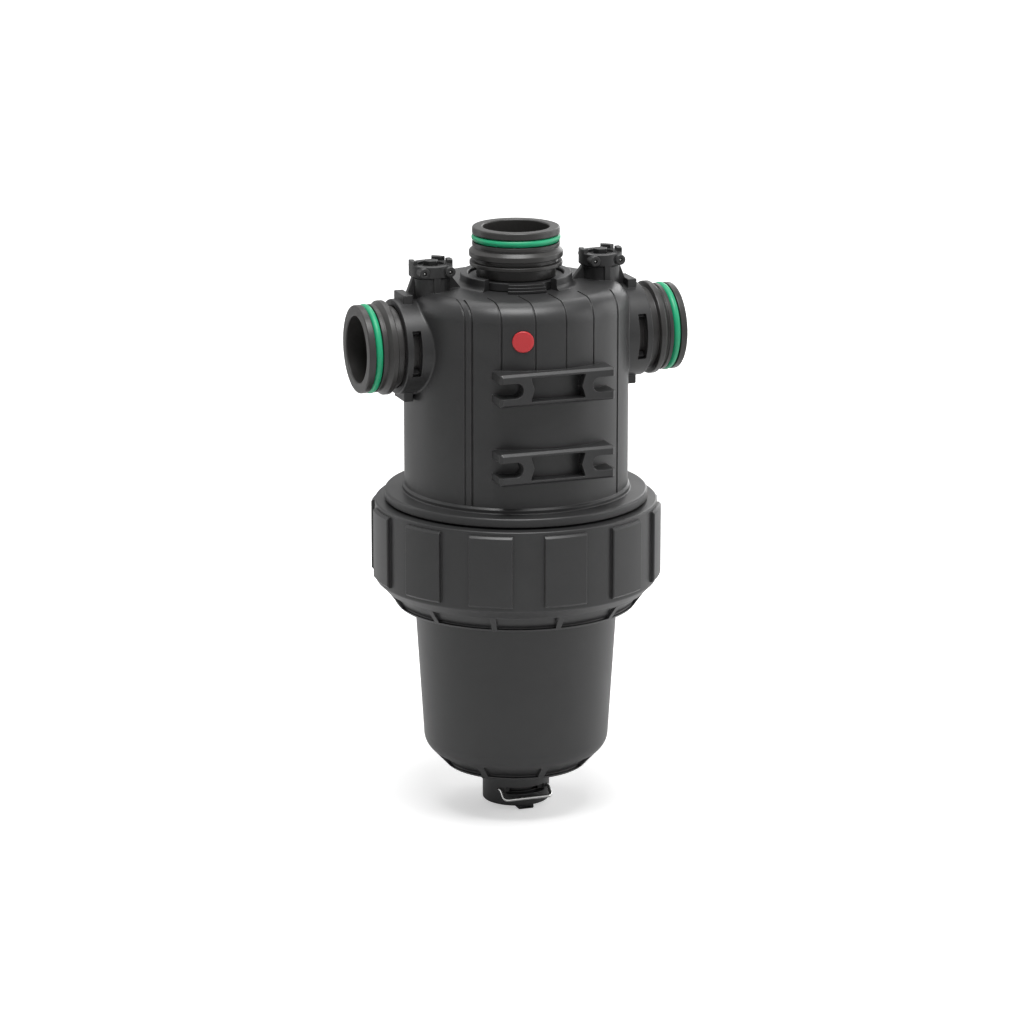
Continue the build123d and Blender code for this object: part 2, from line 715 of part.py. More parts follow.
# Gauge plugs, their seals and their wire clips, whose bars lie behind the towers
tower_wire_front = tower_collar_radius - tower_wire_radius / 2
tower_wire_back = tower_collar_radius + tower_bar_gap + tower_wire_radius
plug_radius = tower_bore_radius - plug_clearance
plug_groove_radius = tower_wire_offset - tower_wire_radius - wire_groove_clearance
plug_seal_top = -tower_wire_drop - 4 * plug_seal_section - tower_wire_radius
plug_seal_radius = tower_bore_radius - seal_clearance - plug_seal_section
plug_bottom = tower_top - tower_bore_length + 4 * seat_gap
grip_radius = 5.0
grip_height = 2.2
grip_sides = 6
for side, name in ((-1, "left"), (1, "right")):
    tower_plane = Plane(origin=(side * tower_reach, 0, 0), x_dir=(1, 0, 0), z_dir=(0, -1, 0))
    with BuildPart() as gauge_plug:
        with BuildSketch(tower_plane):
            with BuildLine():
                Polyline(
                    (0, tower_top),
                    (plug_radius, tower_top),
                    (plug_radius, -tower_wire_drop + tower_wire_radius + wire_clearance),
                    (plug_groove_radius, -tower_wire_drop + tower_wire_radius + wire_clearance),
                    (plug_groove_radius, -tower_wire_drop - tower_wire_radius - wire_clearance),
                    (plug_radius, -tower_wire_drop - tower_wire_radius - wire_clearance),
                    (plug_radius, plug_seal_top),
                    (plug_seal_radius - plug_seal_section, plug_seal_top),
                    (plug_seal_radius - plug_seal_section, plug_seal_top - 2 * plug_seal_section),
                    (plug_radius, plug_seal_top - 2 * plug_seal_section),
                    (plug_radius, plug_bottom),
                    (0, plug_bottom),
                    close=True,
                )
            make_face()
        revolve(axis=Axis((side * tower_reach, 0, 0), (0, 0, 1)))
        with BuildSketch(Plane.XY.offset(tower_top)):
            with Locations((side * tower_reach, 0)):
                RegularPolygon(grip_radius, grip_sides)
        extrude(amount=grip_height)
    gauge_plug.part.label = "gauge_plug_" + name
    export_step(gauge_plug.part, "parts/gauge_plug_" + name + ".step")

    with BuildPart() as gauge_seal:
        with BuildSketch(tower_plane):
            with Locations((plug_seal_radius, plug_seal_top - plug_seal_section)):
                Circle(plug_seal_section)
        revolve(axis=Axis((side * tower_reach, 0, 0), (0, 0, 1)))
    gauge_seal.part.label = "gauge_seal_" + name
    export_step(gauge_seal.part, "parts/gauge_seal_" + name + ".step")

    with BuildPart() as gauge_clip:
        with BuildLine() as gauge_wire:
            FilletPolyline(
                (side * tower_reach + tower_wire_offset, -tower_wire_front, -tower_wire_drop),
                (side * tower_reach + tower_wire_offset, tower_wire_back, -tower_wire_drop),
                (side * tower_reach - tower_wire_offset, tower_wire_back, -tower_wire_drop),
                (side * tower_reach - tower_wire_offset, -tower_wire_front, -tower_wire_drop),
                radius=wire_bend,
            )
        with BuildSketch(gauge_wire.line ^ 0):
            Circle(tower_wire_radius)
        sweep(path=gauge_wire.line)
    gauge_clip.part.label = "gauge_clip_" + name
    export_step(gauge_clip.part, "parts/gauge_clip_" + name + ".step")

# Ring nut: a threaded ring with finger pads and a ribbed underside
underside_radius = nut_radius - cone_run
lip_radius = underside_radius - underside_run
pad_top = nut_top - pad_top_setback
pad_bottom = nut_cone_top + pad_bottom_setback
pad_root = nut_radius - pad_stand
pad_start = radians(-pad_arc / 2)
pad_plane = Plane(
    origin=(0, 0, 0),
    x_dir=(sin(pad_start), -cos(pad_start), 0),
    z_dir=(-cos(pad_start), -sin(pad_start), 0),
)
with BuildPart() as finger_pad:
    with BuildSketch(pad_plane):
        with BuildLine():
            Polyline(
                (pad_root, pad_top),
                (pad_radius - pad_chamfer, pad_top),
                (pad_radius, pad_top - pad_chamfer),
                (pad_radius, pad_bottom + pad_chamfer),
                (pad_radius - pad_chamfer, pad_bottom),
                (pad_root, pad_bottom),
                close=True,
            )
        make_face()
    revolve(axis=Axis.Z, revolution_arc=pad_arc)

# Pockets between the ribs of the nut's underside, with a sloping back wall
nut_pocket_bottom = nut_bottom + pocket_lip
nut_pocket_top = nut_band - edge_break
with BuildPart() as nut_pockets:
    with BuildSketch(Plane.XY.offset(nut_pocket_bottom)):
        Circle(nut_radius)
        with PolarLocations(nut_radius, pad_count, start_angle=90):
            Rectangle(nut_radius, nut_rib_width, mode=Mode.SUBTRACT)
    extrude(amount=nut_pocket_top - nut_pocket_bottom)
    with BuildSketch(Plane.XZ):
        with BuildLine():
            Polyline(
                (0, nut_pocket_bottom),
                (lip_radius - pocket_lip_depth, nut_pocket_bottom),
                (underside_radius - nut_pocket_depth, nut_pocket_top),
                (0, nut_pocket_top),
                close=True,
            )
        make_face()
    revolve(axis=Axis.Z, mode=Mode.SUBTRACT)

with BuildPart() as ring_nut:
    with BuildSketch(Plane.XZ):
        with BuildLine():
            Polyline(
                (nut_bore, nut_top),
                (nut_radius - edge_break, nut_top),
                (nut_radius, nut_top - edge_break),
                (nut_radius, nut_cone_top),
                (underside_radius, nut_band),
                (lip_radius, nut_bottom),
                (nut_neck, nut_bottom),
                (nut_neck, nut_shelf),
                (nut_bore, nut_shelf),
                close=True,
            )
        make_face()
    revolve(axis=Axis.Z)
    with PolarLocations(0, pad_count):
        add(finger_pad.part)
    add(nut_pockets.part, mode=Mode.SUBTRACT)
ring_nut.part.label = "ring_nut"
export_step(ring_nut.part, "parts/ring_nut.step")

# Bowl: a drafted cup with a clamped flange, a pocketed base and the drain's boss
bowl_neck_top = bowl_flange_top + bowl_neck_length
bowl_neck_bore = bowl_neck_radius - bowl_neck_wall
bowl_seal_floor = skirt_bore - seal_clearance - 2 * bowl_seal_section
bowl_seal_height = 2 * bowl_seal_section + 2 * seal_clearance
bowl_seal_top = bowl_neck_top - edge_break - bowl_seal_section
base_radius = bowl_base_radius - base_inset
base_pocket_bottom = base_bottom + base_lip_thickness
base_pocket_top = base_edge - base_inset / 2
with BuildPart() as base_pockets:
    with BuildSketch(Plane.XY.offset(base_pocket_bottom)):
        Circle(bowl_base_radius)
        with PolarLocations(bowl_base_radius, base_rib_count, start_angle=90):
            Rectangle(bowl_base_radius, base_rib_width, mode=Mode.SUBTRACT)
    extrude(amount=base_pocket_top - base_pocket_bottom)
    with BuildSketch(Plane.XZ):
        with BuildLine():
            Polyline(
                (0, base_pocket_bottom),
                (base_lip_radius - pocket_lip_depth, base_pocket_bottom),
                (base_radius - base_pocket_depth, base_pocket_top),
                (0, base_pocket_top),
                close=True,
            )
        make_face()
    revolve(axis=Axis.Z, mode=Mode.SUBTRACT)

with BuildPart() as bowl:
    with BuildSketch(Plane.XZ):
        with BuildLine():
            rim = Polyline(
                (0, bowl_floor),
                (0, base_bottom),
                (base_lip_radius, base_bottom),
                (base_radius, base_edge),
            )
            wall = Line((bowl_base_radius, base_edge + bowl_corner), (bowl_top_radius, bowl_flange_bottom))
            TangentArc(wall @ 0, rim @ 1, tangent=(wall % 0) * -1)
            neck = Polyline(
                wall @ 1,
                (bowl_flange_radius, bowl_flange_bottom),
                (bowl_flange_radius, bowl_flange_top),
                (bowl_neck_radius, bowl_flange_top),
                (bowl_neck_radius, bowl_seal_top - bowl_seal_height),
                (bowl_seal_floor, bowl_seal_top - bowl_seal_height),
                (bowl_seal_floor, bowl_seal_top),
                (bowl_neck_radius, bowl_seal_top),
                (bowl_neck_radius, bowl_neck_top),
                (bowl_neck_bore, bowl_neck_top),
                (bowl_top_radius - bowl_wall, bowl_flange_bottom),
                (bowl_base_radius - bowl_wall, bowl_floor),
                (0, bowl_floor),
            )
        make_face()
    revolve(axis=Axis.Z)
    add(base_pockets.part, mode=Mode.SUBTRACT)
    # Boss of the drain, and the ring that centres the screen on the floor
    with BuildSketch(Plane.XY.offset(boss_bottom)):
        Circle(boss_radius)
    extrude(amount=boss_length)
    # Small ears on the boss's sides, close under the base
    with BuildSketch(Plane.XY.offset(base_bottom - boss_ear_drop - boss_ear_height)):
        RectangleRounded(2 * (boss_radius + boss_ear_stand), boss_ear_width, 2 * edge_break)
    extrude(amount=boss_ear_height)
    with BuildSketch(Plane.XY.offset(bowl_floor)):
        Circle(locating_ring_inner + locating_ring_wall)
        Circle(locating_ring_inner, mode=Mode.SUBTRACT)
    extrude(amount=locating_ring_height)
    # Drain passage and the plug's bore
    with BuildSketch(Plane.XY.offset(boss_bottom)):
        Circle(drain_passage_radius)
    extrude(amount=bowl_floor - boss_bottom, mode=Mode.SUBTRACT)
    with BuildSketch(Plane.XY.offset(boss_bottom)):
        Circle(drain_bore_radius)
    extrude(amount=drain_plug_length + seat_gap, mode=Mode.SUBTRACT)
    # Holes for the wire clip's legs, and the front slot
    wire_height = boss_bottom + drain_wire_rise
    hole_end = Vector(0, drain_wire_back + 2 * drain_wire_radius, wire_height)
    with BuildSketch(Plane(origin=hole_end, x_dir=(1, 0, 0), z_dir=(0, -1, 0))):
        with GridLocations(2 * drain_wire_offset, 0, 2, 1):
            Circle(drain_wire_radius + wire_clearance)
    extrude(amount=2 * boss_radius, mode=Mode.SUBTRACT)
    slot_start = Vector(0, -drain_bore_radius + wire_bend, wire_height)
    with BuildSketch(Plane(origin=slot_start, x_dir=(1, 0, 0), z_dir=(0, -1, 0))):
        Rectangle(2 * front_slot_half_width, front_slot_height)
    extrude(amount=boss_radius, mode=Mode.SUBTRACT)
bowl.part.label = "bowl"
export_step(bowl.part, "parts/bowl.step")

# Bowl seal, in the neck's groove
bowl_seal_radius = bowl_seal_floor + bowl_seal_section
with BuildPart() as bowl_seal:
    with BuildSketch(Plane.XZ):
        with Locations((bowl_seal_radius, bowl_seal_top - bowl_seal_height / 2)):
            Circle(bowl_seal_section)
    revolve(axis=Axis.Z)
bowl_seal.part.label = "bowl_seal"
export_step(bowl_seal.part, "parts/bowl_seal.step")

# Drain plug: a grooved plug with a hollow underside and a pull tab
drain_plug_radius = drain_bore_radius - plug_clearance
drain_groove_radius = drain_wire_offset - drain_wire_radius - wire_groove_clearance
drain_plug_top = boss_bottom + drain_plug_length
drain_groove_half = drain_wire_radius + wire_clearance
drain_seal_radius = drain_bore_radius - seal_clearance - plug_seal_section
drain_seal_top = drain_plug_top - 2 * plug_seal_section
plug_hollow_radius = drain_groove_radius - bowl_wall
plug_hollow_depth = drain_wire_rise + drain_groove_half
tab_top = boss_bottom - seat_gap
tab_back = plug_hollow_radius + edge_break
with BuildPart() as drain_plug:
    with BuildSketch(Plane.XZ):
        with BuildLine():
            Polyline(
                (0, drain_plug_top),
                (drain_plug_radius, drain_plug_top),
                (drain_plug_radius, drain_seal_top),
                (drain_seal_radius - plug_seal_section, drain_seal_top),
                (drain_seal_radius - plug_seal_section, drain_seal_top - 2 * plug_seal_section),
                (drain_plug_radius, drain_seal_top - 2 * plug_seal_section),
                (drain_plug_radius, wire_height + drain_groove_half),
                (drain_groove_radius, wire_height + drain_groove_half),
                (drain_groove_radius, wire_height - drain_groove_half),
                (drain_plug_radius, wire_height - drain_groove_half),
                (drain_plug_radius, tab_top - edge_break),
                (plug_hollow_radius, tab_top - edge_break),
                (plug_hollow_radius, boss_bottom + plug_hollow_depth),
                (0, boss_bottom + plug_hollow_depth),
                close=True,
            )
        make_face()
    revolve(axis=Axis.Z)
    with BuildSketch(Plane.XY.offset(tab_top - tab_height)):
        with Locations((0, -(tab_front + tab_back) / 2)):
            RectangleRounded(2 * tab_half_width, tab_front - tab_back, edge_break)
    extrude(amount=tab_height)
    with BuildSketch(Plane.XZ.offset(tab_front)):
        with Locations((0, tab_top - tab_height / 2)):
            Rectangle(2 * tab_slot_half_width, tab_slot_height)
    extrude(amount=-wire_bend, mode=Mode.SUBTRACT)
drain_plug.part.label = "drain_plug"
export_step(drain_plug.part, "parts/drain_plug.step")

with BuildPart() as drain_seal:
    with BuildSketch(Plane.XZ):
        with Locations((drain_seal_radius, drain_seal_top - plug_seal_section)):
            Circle(plug_seal_section)
    revolve(axis=Axis.Z)
drain_seal.part.label = "drain_seal"
export_step(drain_seal.part, "parts/drain_seal.step")

# Drain clip: a wire fork whose front bar dips below its legs
with BuildPart() as drain_clip:
    with BuildLine() as drain_wire:
        FilletPolyline(
            (drain_wire_offset, drain_wire_back, wire_height),
            (drain_wire_offset, -drain_wire_knee, wire_height),
            (drain_wire_offset, -drain_wire_front, wire_height - drain_wire_dip),
            (-drain_wire_offset, -drain_wire_front, wire_height - drain_wire_dip),
            (-drain_wire_offset, -drain_wire_knee, wire_height),
            (-drain_wire_offset, drain_wire_back, wire_height),
            radius=wire_bend,
        )
    with BuildSketch(drain_wire.line ^ 0):
        Circle(drain_wire_radius)
    sweep(path=drain_wire.line)
drain_clip.part.label = "drain_clip"
export_step(drain_clip.part, "parts/drain_clip.step")

# Screen: top cap, cage, woven mesh, bottom cap and the seal on the outlet tube
cap_bottom = -screen_cap_drop - screen_cap_thickness
collar_top = -tube_drop + screen_collar_length
collar_inner = tube_radius + spigot_clearance
bottom_cap_top = bowl_floor + locating_ring_height + 2 * seat_gap + screen_cap_thickness
bottom_cap_bottom = bottom_cap_top - screen_cap_thickness
cage_outer = mesh_radius - mesh_thickness
cage_inner = cage_outer - cage_wall
cage_height = cap_bottom - bottom_cap_top
screen_seal_height = (collar_top + cap_bottom) / 2
seal_groove = collar_inner + 2 * screen_seal_section
with BuildPart() as top_cap:
    with BuildSketch(Plane.XZ):
        with BuildLine():
            Polyline(
                (collar_inner, collar_top),
                (collar_inner + screen_collar_wall, collar_top),
                (collar_inner + screen_collar_wall, -screen_cap_drop),
                (screen_cap_radius, -screen_cap_drop),
                (screen_cap_radius, cap_bottom - screen_cap_thickness),
                (mesh_radius, cap_bottom - screen_cap_thickness),
                (mesh_radius, cap_bottom),
                (collar_inner, cap_bottom),
                (collar_inner, screen_seal_height - screen_seal_section),
                (seal_groove, screen_seal_height - screen_seal_section),
                (seal_groove, screen_seal_height + screen_seal_section),
                (collar_inner, screen_seal_height + screen_seal_section),
                close=True,
            )
        make_face()
    revolve(axis=Axis.Z)
top_cap.part.label = "screen_top_cap"
export_step(top_cap.part, "parts/screen_top_cap.step")

with BuildPart() as bottom_cap:
    with BuildSketch(Plane.XZ):
        with BuildLine():
            Polyline(
                (0, bottom_cap_top),
                (mesh_radius, bottom_cap_top),
                (mesh_radius, bottom_cap_top + screen_cap_thickness),
                (screen_cap_radius, bottom_cap_top + screen_cap_thickness),
                (screen_cap_radius, bottom_cap_bottom),
                (0, bottom_cap_bottom),
                close=True,
            )
        make_face()
    revolve(axis=Axis.Z)
    with BuildSketch(Plane.XY.offset(bottom_cap_bottom)):
        Circle(locating_ring_inner - seat_gap)
    extrude(amount=-locating_ring_height / 2)
bottom_cap.part.label = "screen_bottom_cap"
export_step(bottom_cap.part, "parts/screen_bottom_cap.step")

with BuildPart() as cage:
    with BuildSketch(Plane.XY.offset(bottom_cap_top)):
        Circle(cage_outer)
        Circle(cage_inner, mode=Mode.SUBTRACT)
    extrude(amount=cage_height)
    ring_pitch = (cage_height - cage_ring_height) / (cage_ring_count - 1)
    window_width = 2 * cage_outer * sin(radians(180 / cage_rib_count)) - cage_rib_width
    for level in range(cage_ring_count - 1):
        window_bottom = bottom_cap_top + cage_ring_height + level * ring_pitch
        with BuildSketch(Plane.XY.offset(window_bottom)):
            with PolarLocations((cage_outer + cage_inner) / 2, cage_rib_count):
                Rectangle(3 * cage_wall, window_width)
        extrude(amount=ring_pitch - cage_ring_height, mode=Mode.SUBTRACT)
cage.part.label = "screen_cage"
export_step(cage.part, "parts/screen_cage.step")

with BuildPart() as mesh:
    with BuildSketch(Plane.XY.offset(bottom_cap_top)):
        Circle(mesh_radius)
        Circle(cage_outer, mode=Mode.SUBTRACT)
    extrude(amount=cage_height)
mesh.part.label = "mesh_screen"
export_step(mesh.part, "parts/mesh_screen.step")

seal_centre = tube_radius + seal_clearance + screen_seal_section
with BuildPart() as screen_seal:
    with BuildSketch(Plane.XZ):
        with Locations((seal_centre, screen_seal_height)):
            Circle(screen_seal_section)
    revolve(axis=Axis.Z)
screen_seal.part.label = "screen_seal"
export_step(screen_seal.part, "parts/screen_seal.step")
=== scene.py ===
# %% [markdown]
# A mesh filter for liquid lines stands here as a set of separate pieces: a moulded head with
# three port nipples, a ring nut, a bowl with a drain, wire clips, seals and a screen inside.
# The construction is already packed as a fixed frame, in metres, and this file gives it its
# looks. Every piece below is laid over the frame's own node and rides on the same body.

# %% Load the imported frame
import json
from math import cos, pi, radians, sin

import bmesh
import bpy
import numpy as np
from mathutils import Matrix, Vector

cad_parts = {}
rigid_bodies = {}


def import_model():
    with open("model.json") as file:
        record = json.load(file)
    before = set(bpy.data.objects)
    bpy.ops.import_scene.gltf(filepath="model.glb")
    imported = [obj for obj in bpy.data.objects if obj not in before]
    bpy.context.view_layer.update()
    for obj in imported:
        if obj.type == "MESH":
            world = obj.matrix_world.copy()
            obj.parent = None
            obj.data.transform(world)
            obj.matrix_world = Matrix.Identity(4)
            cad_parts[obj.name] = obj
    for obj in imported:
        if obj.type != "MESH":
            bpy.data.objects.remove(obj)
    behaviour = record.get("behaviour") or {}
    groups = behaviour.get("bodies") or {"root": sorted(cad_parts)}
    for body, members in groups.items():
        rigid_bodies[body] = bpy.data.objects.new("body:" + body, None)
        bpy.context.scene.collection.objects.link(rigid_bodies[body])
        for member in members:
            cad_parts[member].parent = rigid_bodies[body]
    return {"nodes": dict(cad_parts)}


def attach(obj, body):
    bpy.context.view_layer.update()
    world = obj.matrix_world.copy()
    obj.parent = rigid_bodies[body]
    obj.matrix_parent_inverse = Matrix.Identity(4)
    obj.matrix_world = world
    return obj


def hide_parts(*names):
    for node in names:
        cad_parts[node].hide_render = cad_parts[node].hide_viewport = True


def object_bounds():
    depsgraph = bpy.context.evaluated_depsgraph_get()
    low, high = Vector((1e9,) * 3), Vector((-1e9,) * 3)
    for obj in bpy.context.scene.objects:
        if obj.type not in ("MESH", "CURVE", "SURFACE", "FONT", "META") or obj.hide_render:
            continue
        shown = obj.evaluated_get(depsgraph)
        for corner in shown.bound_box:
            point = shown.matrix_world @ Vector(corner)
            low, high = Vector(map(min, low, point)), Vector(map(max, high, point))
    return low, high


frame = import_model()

cad_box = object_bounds()
print("frame box in metres:", cad_box)

# %% [markdown]
# The picture is taken from the left of the front and a little from above, with a long lens, so
# that the round parts show as narrow ellipses. The camera aims near the middle of the filter,
# and the lens length follows from its distance and the size that the object has in the frame.

# %% Camera
def add(name, data):
    """A new object for some data, linked to the scene."""
    item = bpy.data.objects.new(name, data)
    bpy.context.scene.collection.objects.link(item)
    return item


picture_side = 1024
azimuth = radians(-20.0)
elevation = radians(14.7)
distance = 2.88
sensor_width = 36.0
focal_pixels = 4386.0
aim_height = -0.1912
aim_shift = 0.0026

to_camera = np.array([sin(azimuth) * cos(elevation), -cos(azimuth) * cos(elevation), sin(elevation)])
to_right = np.array([cos(azimuth), sin(azimuth), 0.0])
aim = np.array([0.0, 0.0, aim_height]) - aim_shift * to_right
camera_data = bpy.data.cameras.new("camera")
camera_data.sensor_width = sensor_width
camera_data.lens = focal_pixels / picture_side * sensor_width
camera_data.clip_end = 100.0
camera = add("camera", camera_data)
camera.location = aim + distance * to_camera
camera.rotation_euler = Vector(to_camera).to_track_quat("Z", "Y").to_euler()
bpy.context.scene.camera = camera
print("lens in mm:", round(camera_data.lens, 1))

# %% [markdown]
# A moulded edge is never sharp, so each outline below is a few corners that are rounded first.
# All sizes are written in millimetres, as a drawing would have them, and become metres when a
# mesh is made.

# %% Round the corners of an outline
MM = 0.001
ARC_STEPS = 6
SMALLEST_RADIUS = 0.001
print("points on a rounded corner:", ARC_STEPS + 1)


def unit(vectors):
    """Vectors of length one."""
    return vectors / np.linalg.norm(vectors, axis=-1, keepdims=True)


def box(left, low, right, high):
    """The four corners of a rectangle."""
    return [(left, low), (right, low), (right, high), (left, high)]


def circle(radius, count):
    """Points at equal steps on a circle."""
    angle = np.linspace(0.0, 2 * pi, count, endpoint=False)
    return radius * np.stack([np.cos(angle), np.sin(angle)], axis=1)


def arcs(before, corner, after, radius, steps):
    """Points and outward normals of the arcs that replace corners. The arc's centre lies on the
    corner's bisector, at the radius over the sine of half the angle, and the arc turns by pi
    less the corner's own angle. The outline runs counter-clockwise."""
    back = unit(before - corner)
    ahead = unit(after - corner)
    shorter = np.minimum(np.linalg.norm(before - corner, axis=1), np.linalg.norm(after - corner, axis=1))
    half = np.arccos(np.clip((back * ahead).sum(1), -1.0, 1.0)) / 2
    radius = np.minimum(radius, 0.49 * shorter * np.tan(half))
    centre = corner + unit(back + ahead) * (radius / np.sin(half))[:, None]
    start = corner + back * (radius / np.tan(half))[:, None] - centre
    side = np.sign(ahead[:, 0] * back[:, 1] - ahead[:, 1] * back[:, 0])
    turn = side[:, None] * (pi - 2 * half)[:, None] * np.linspace(0.0, 1.0, steps + 1)
    arm_x = start[:, :1] * np.cos(turn) - start[:, 1:] * np.sin(turn)
    arm_y = start[:, :1] * np.sin(turn) + start[:, 1:] * np.cos(turn)
    arm = np.stack([arm_x, arm_y], axis=2)
    return centre[:, None] + arm, side[:, None, None] * arm / radius[:, None, None]


def rounded(corners, radii, steps=ARC_STEPS):
    """A closed outline whose corners are arcs of the given radii, with its outward normals."""
    corners = np.array(corners, float)
    area = corners[:, 0] * np.roll(corners[:, 1], -1) - np.roll(corners[:, 0], -1) * corners[:, 1]
    radii = np.maximum(np.broadcast_to(np.array(radii, float), len(corners)), SMALLEST_RADIUS)
    if area.sum() < 0:
        corners = corners[::-1]
        radii = radii[::-1]
    points, normals = arcs(np.roll(corners, 1, 0), corners, np.roll(corners, -1, 0), radii, steps)
    return points.reshape(-1, 2), normals.reshape(-1, 2)


def rounded_path(corners, radius, steps=ARC_STEPS):
    """An open line whose inner corners are arcs of one radius."""
    corners = np.array(corners, float)
    radii = np.full(len(corners) - 2, float(radius))
    points = arcs(corners[:-2], corners[1:-1], corners[2:], radii, steps)[0]
    return np.vstack([corners[:1], points.reshape(-1, 2), corners[-1:]])

# %% [markdown]
# A grid becomes a closed skin: neighbouring rows and columns are joined by four-sided faces, the
# open ends are closed by one face each, points that fall together on an axis are merged, and
# the normals are then turned outwards.

# %% Skin a grid of points
MERGE_DISTANCE = 1e-7
print("merge distance in metres:", MERGE_DISTANCE)


def skin(points, rows_close, caps):
    """Vertices and faces over an array of rows of points, each row a closed ring."""
    rows, columns = points.shape[:2]
    row = np.arange(rows if rows_close else rows - 1)
    row, column = np.meshgrid(row, np.arange(columns), indexing="ij")
    next_column = (column + 1) % columns
    low = row * columns
    high = (row + 1) % rows * columns
    corners = [low + column, low + next_column, high + next_column, high + column]
    faces = np.stack(corners, axis=-1).reshape(-1, 4).tolist()
    if caps:
        faces.append(list(range(columns))[::-1])
        faces.append(list(range((rows - 1) * columns, rows * columns)))
    return points.reshape(-1, 3), faces


def mesh_of(name, shape):
    """A closed mesh in metres from one shape in millimetres, its normals outwards."""
    points, faces = shape
    mesh = bpy.data.meshes.new(name)
    mesh.from_pydata((points * MM).tolist(), [], faces)
    work = bmesh.new()
    work.from_mesh(mesh)
    bmesh.ops.remove_doubles(work, verts=work.verts, dist=MERGE_DISTANCE)
    bmesh.ops.recalc_face_normals(work, faces=work.faces)
    work.to_mesh(mesh)
    work.free()
    return mesh

# %% [markdown]
# Moulded parts are solids of a few kinds: turned forms, flat outlines pulled to a depth, and
# bent wire. Each kind is a grid of points that numpy works out in one go.

# %% Turned forms, pulled outlines and wire
AROUND = 192
print("points round a turned form:", AROUND)


def polar(radius, angle, height):
    """Points round the Z axis. One at radius r and angle a lies at (r sin a, -r cos a), so that
    angle 0 is the front and +90 degrees is +X."""
    parts = np.broadcast_arrays(radius * np.sin(angle), -radius * np.cos(angle), height)
    return np.stack(parts, axis=-1)


def turned(outline, start=0.0, sweep=360.0, around=AROUND):
    """An outline of radius and height carried round the Z axis."""
    full = sweep >= 360.0
    angle = np.radians(start + sweep * np.linspace(0.0, 1.0, around, endpoint=not full))[:, None]
    return skin(polar(outline[:, 0], angle, outline[:, 1]), full, not full)


def pulled(outline, normals, layers):
    """A flat outline repeated at each layer's depth, grown along its normals by each layer's
    offset, so that rounded rims and flared mouths are only a few extra layers."""
    depth, offset = np.array(layers, float).T
    flat = outline[None] + normals[None] * offset[:, None, None]
    height = np.broadcast_to(depth[:, None, None], (len(depth), len(outline), 1))
    return skin(np.concatenate([flat, height], axis=2), False, True)


def lathe(corners, radii=0, start=0.0, sweep=360.0, around=AROUND, steps=ARC_STEPS):
    """Corners of radius and height, rounded and carried round the Z axis."""
    return turned(rounded(corners, radii, steps)[0], start, sweep, around)


def prism(corners, radii, layers, steps=ARC_STEPS):
    """A flat outline with rounded corners, pulled through its layers."""
    return pulled(*rounded(corners, radii, steps), layers)


def rim(start, end, radius, steps=4):
    """Layers from one depth to another with both rims rounded: the offset drops by the radius
    times one less the cosine, while the depth moves by the radius times one less the sine."""
    angle = np.linspace(pi / 2, 0.0, steps + 1)
    depth = radius * (1 - np.sin(angle))
    offset = -radius * (1 - np.cos(angle))
    first = np.stack([start + depth, offset], axis=1)
    last = np.stack([end - depth, offset], axis=1)[::-1]
    return np.vstack([first, last])


def placed(shape, origin, x_axis, y_axis, z_axis):
    """A shape carried from its own three directions to others, by one sum of products."""
    points, faces = shape
    axes = np.array([x_axis, y_axis, z_axis], float)
    return points @ axes + np.array(origin, float), faces


def moved(shape, offset):
    """A shape shifted by an offset."""
    return placed(shape, offset, (1, 0, 0), (0, 1, 0), (0, 0, 1))


def on_side(shape, side):
    """A shape of the right side, mirrored to the left one when the side is -1."""
    return placed(shape, (0, 0, 0), (side, 0, 0), (0, 1, 0), (0, 0, 1))


def wrapped(shape, radius):
    """A flat shape bent round the Z axis: the first coordinate is the arc length at the given
    radius, from the front towards +X, the second the height and the third the radius."""
    points, faces = shape
    return polar(points[:, 2], points[:, 0] / radius, points[:, 1]), faces


def wire(path, radius, around=20, end_steps=4):
    """A round wire along a path: each row is a circle across the path's direction, and the rows
    at both ends shrink as a half ball, by the sine of the angle from the tip."""
    path = np.array(path, float)
    along = unit(np.gradient(path, axis=0))
    side = unit(np.cross(along, [0.0, 0.0, 1.0]))
    up = np.cross(side, along)
    tip = np.linspace(0.0, pi / 2, end_steps, endpoint=False)
    first = path[0] - along[0] * (radius * np.cos(tip))[:, None]
    last = (path[-1] + along[-1] * (radius * np.cos(tip))[:, None])[::-1]
    centre = np.vstack([first, path, last])
    end_size = radius * np.sin(tip)
    size = np.concatenate([end_size, np.full(len(path), radius), end_size[::-1]])
    row = np.clip(np.arange(-end_steps, len(path) + end_steps), 0, len(path) - 1)
    across, over = circle(1.0, around).T[:, None, :, None]
    ring = side[row][:, None] * across + up[row][:, None] * over
    return skin(centre[:, None] + ring * size[:, None, None], False, False)


def block(low, high, radius):
    """A block between two corners, its upright and level edges rounded."""
    return prism(box(*low[:2], *high[:2]), radius, rim(low[2], high[2], radius))

# %% [markdown]
# Solids join and cut each other as they do in a mould: the boolean modifier takes a collection
# of other solids and adds or removes them all. Its manifold solver needs closed skins, which
# every shape above is. The result is then shaded smooth, with the sharp edges marked from the
# angle between faces and the normals weighted by area, so that flats stay flat.

# %% Join, cut and finish
SHARP_DEGREES = 32.0
materials = {}
print("edges are sharp from degrees:", SHARP_DEGREES)


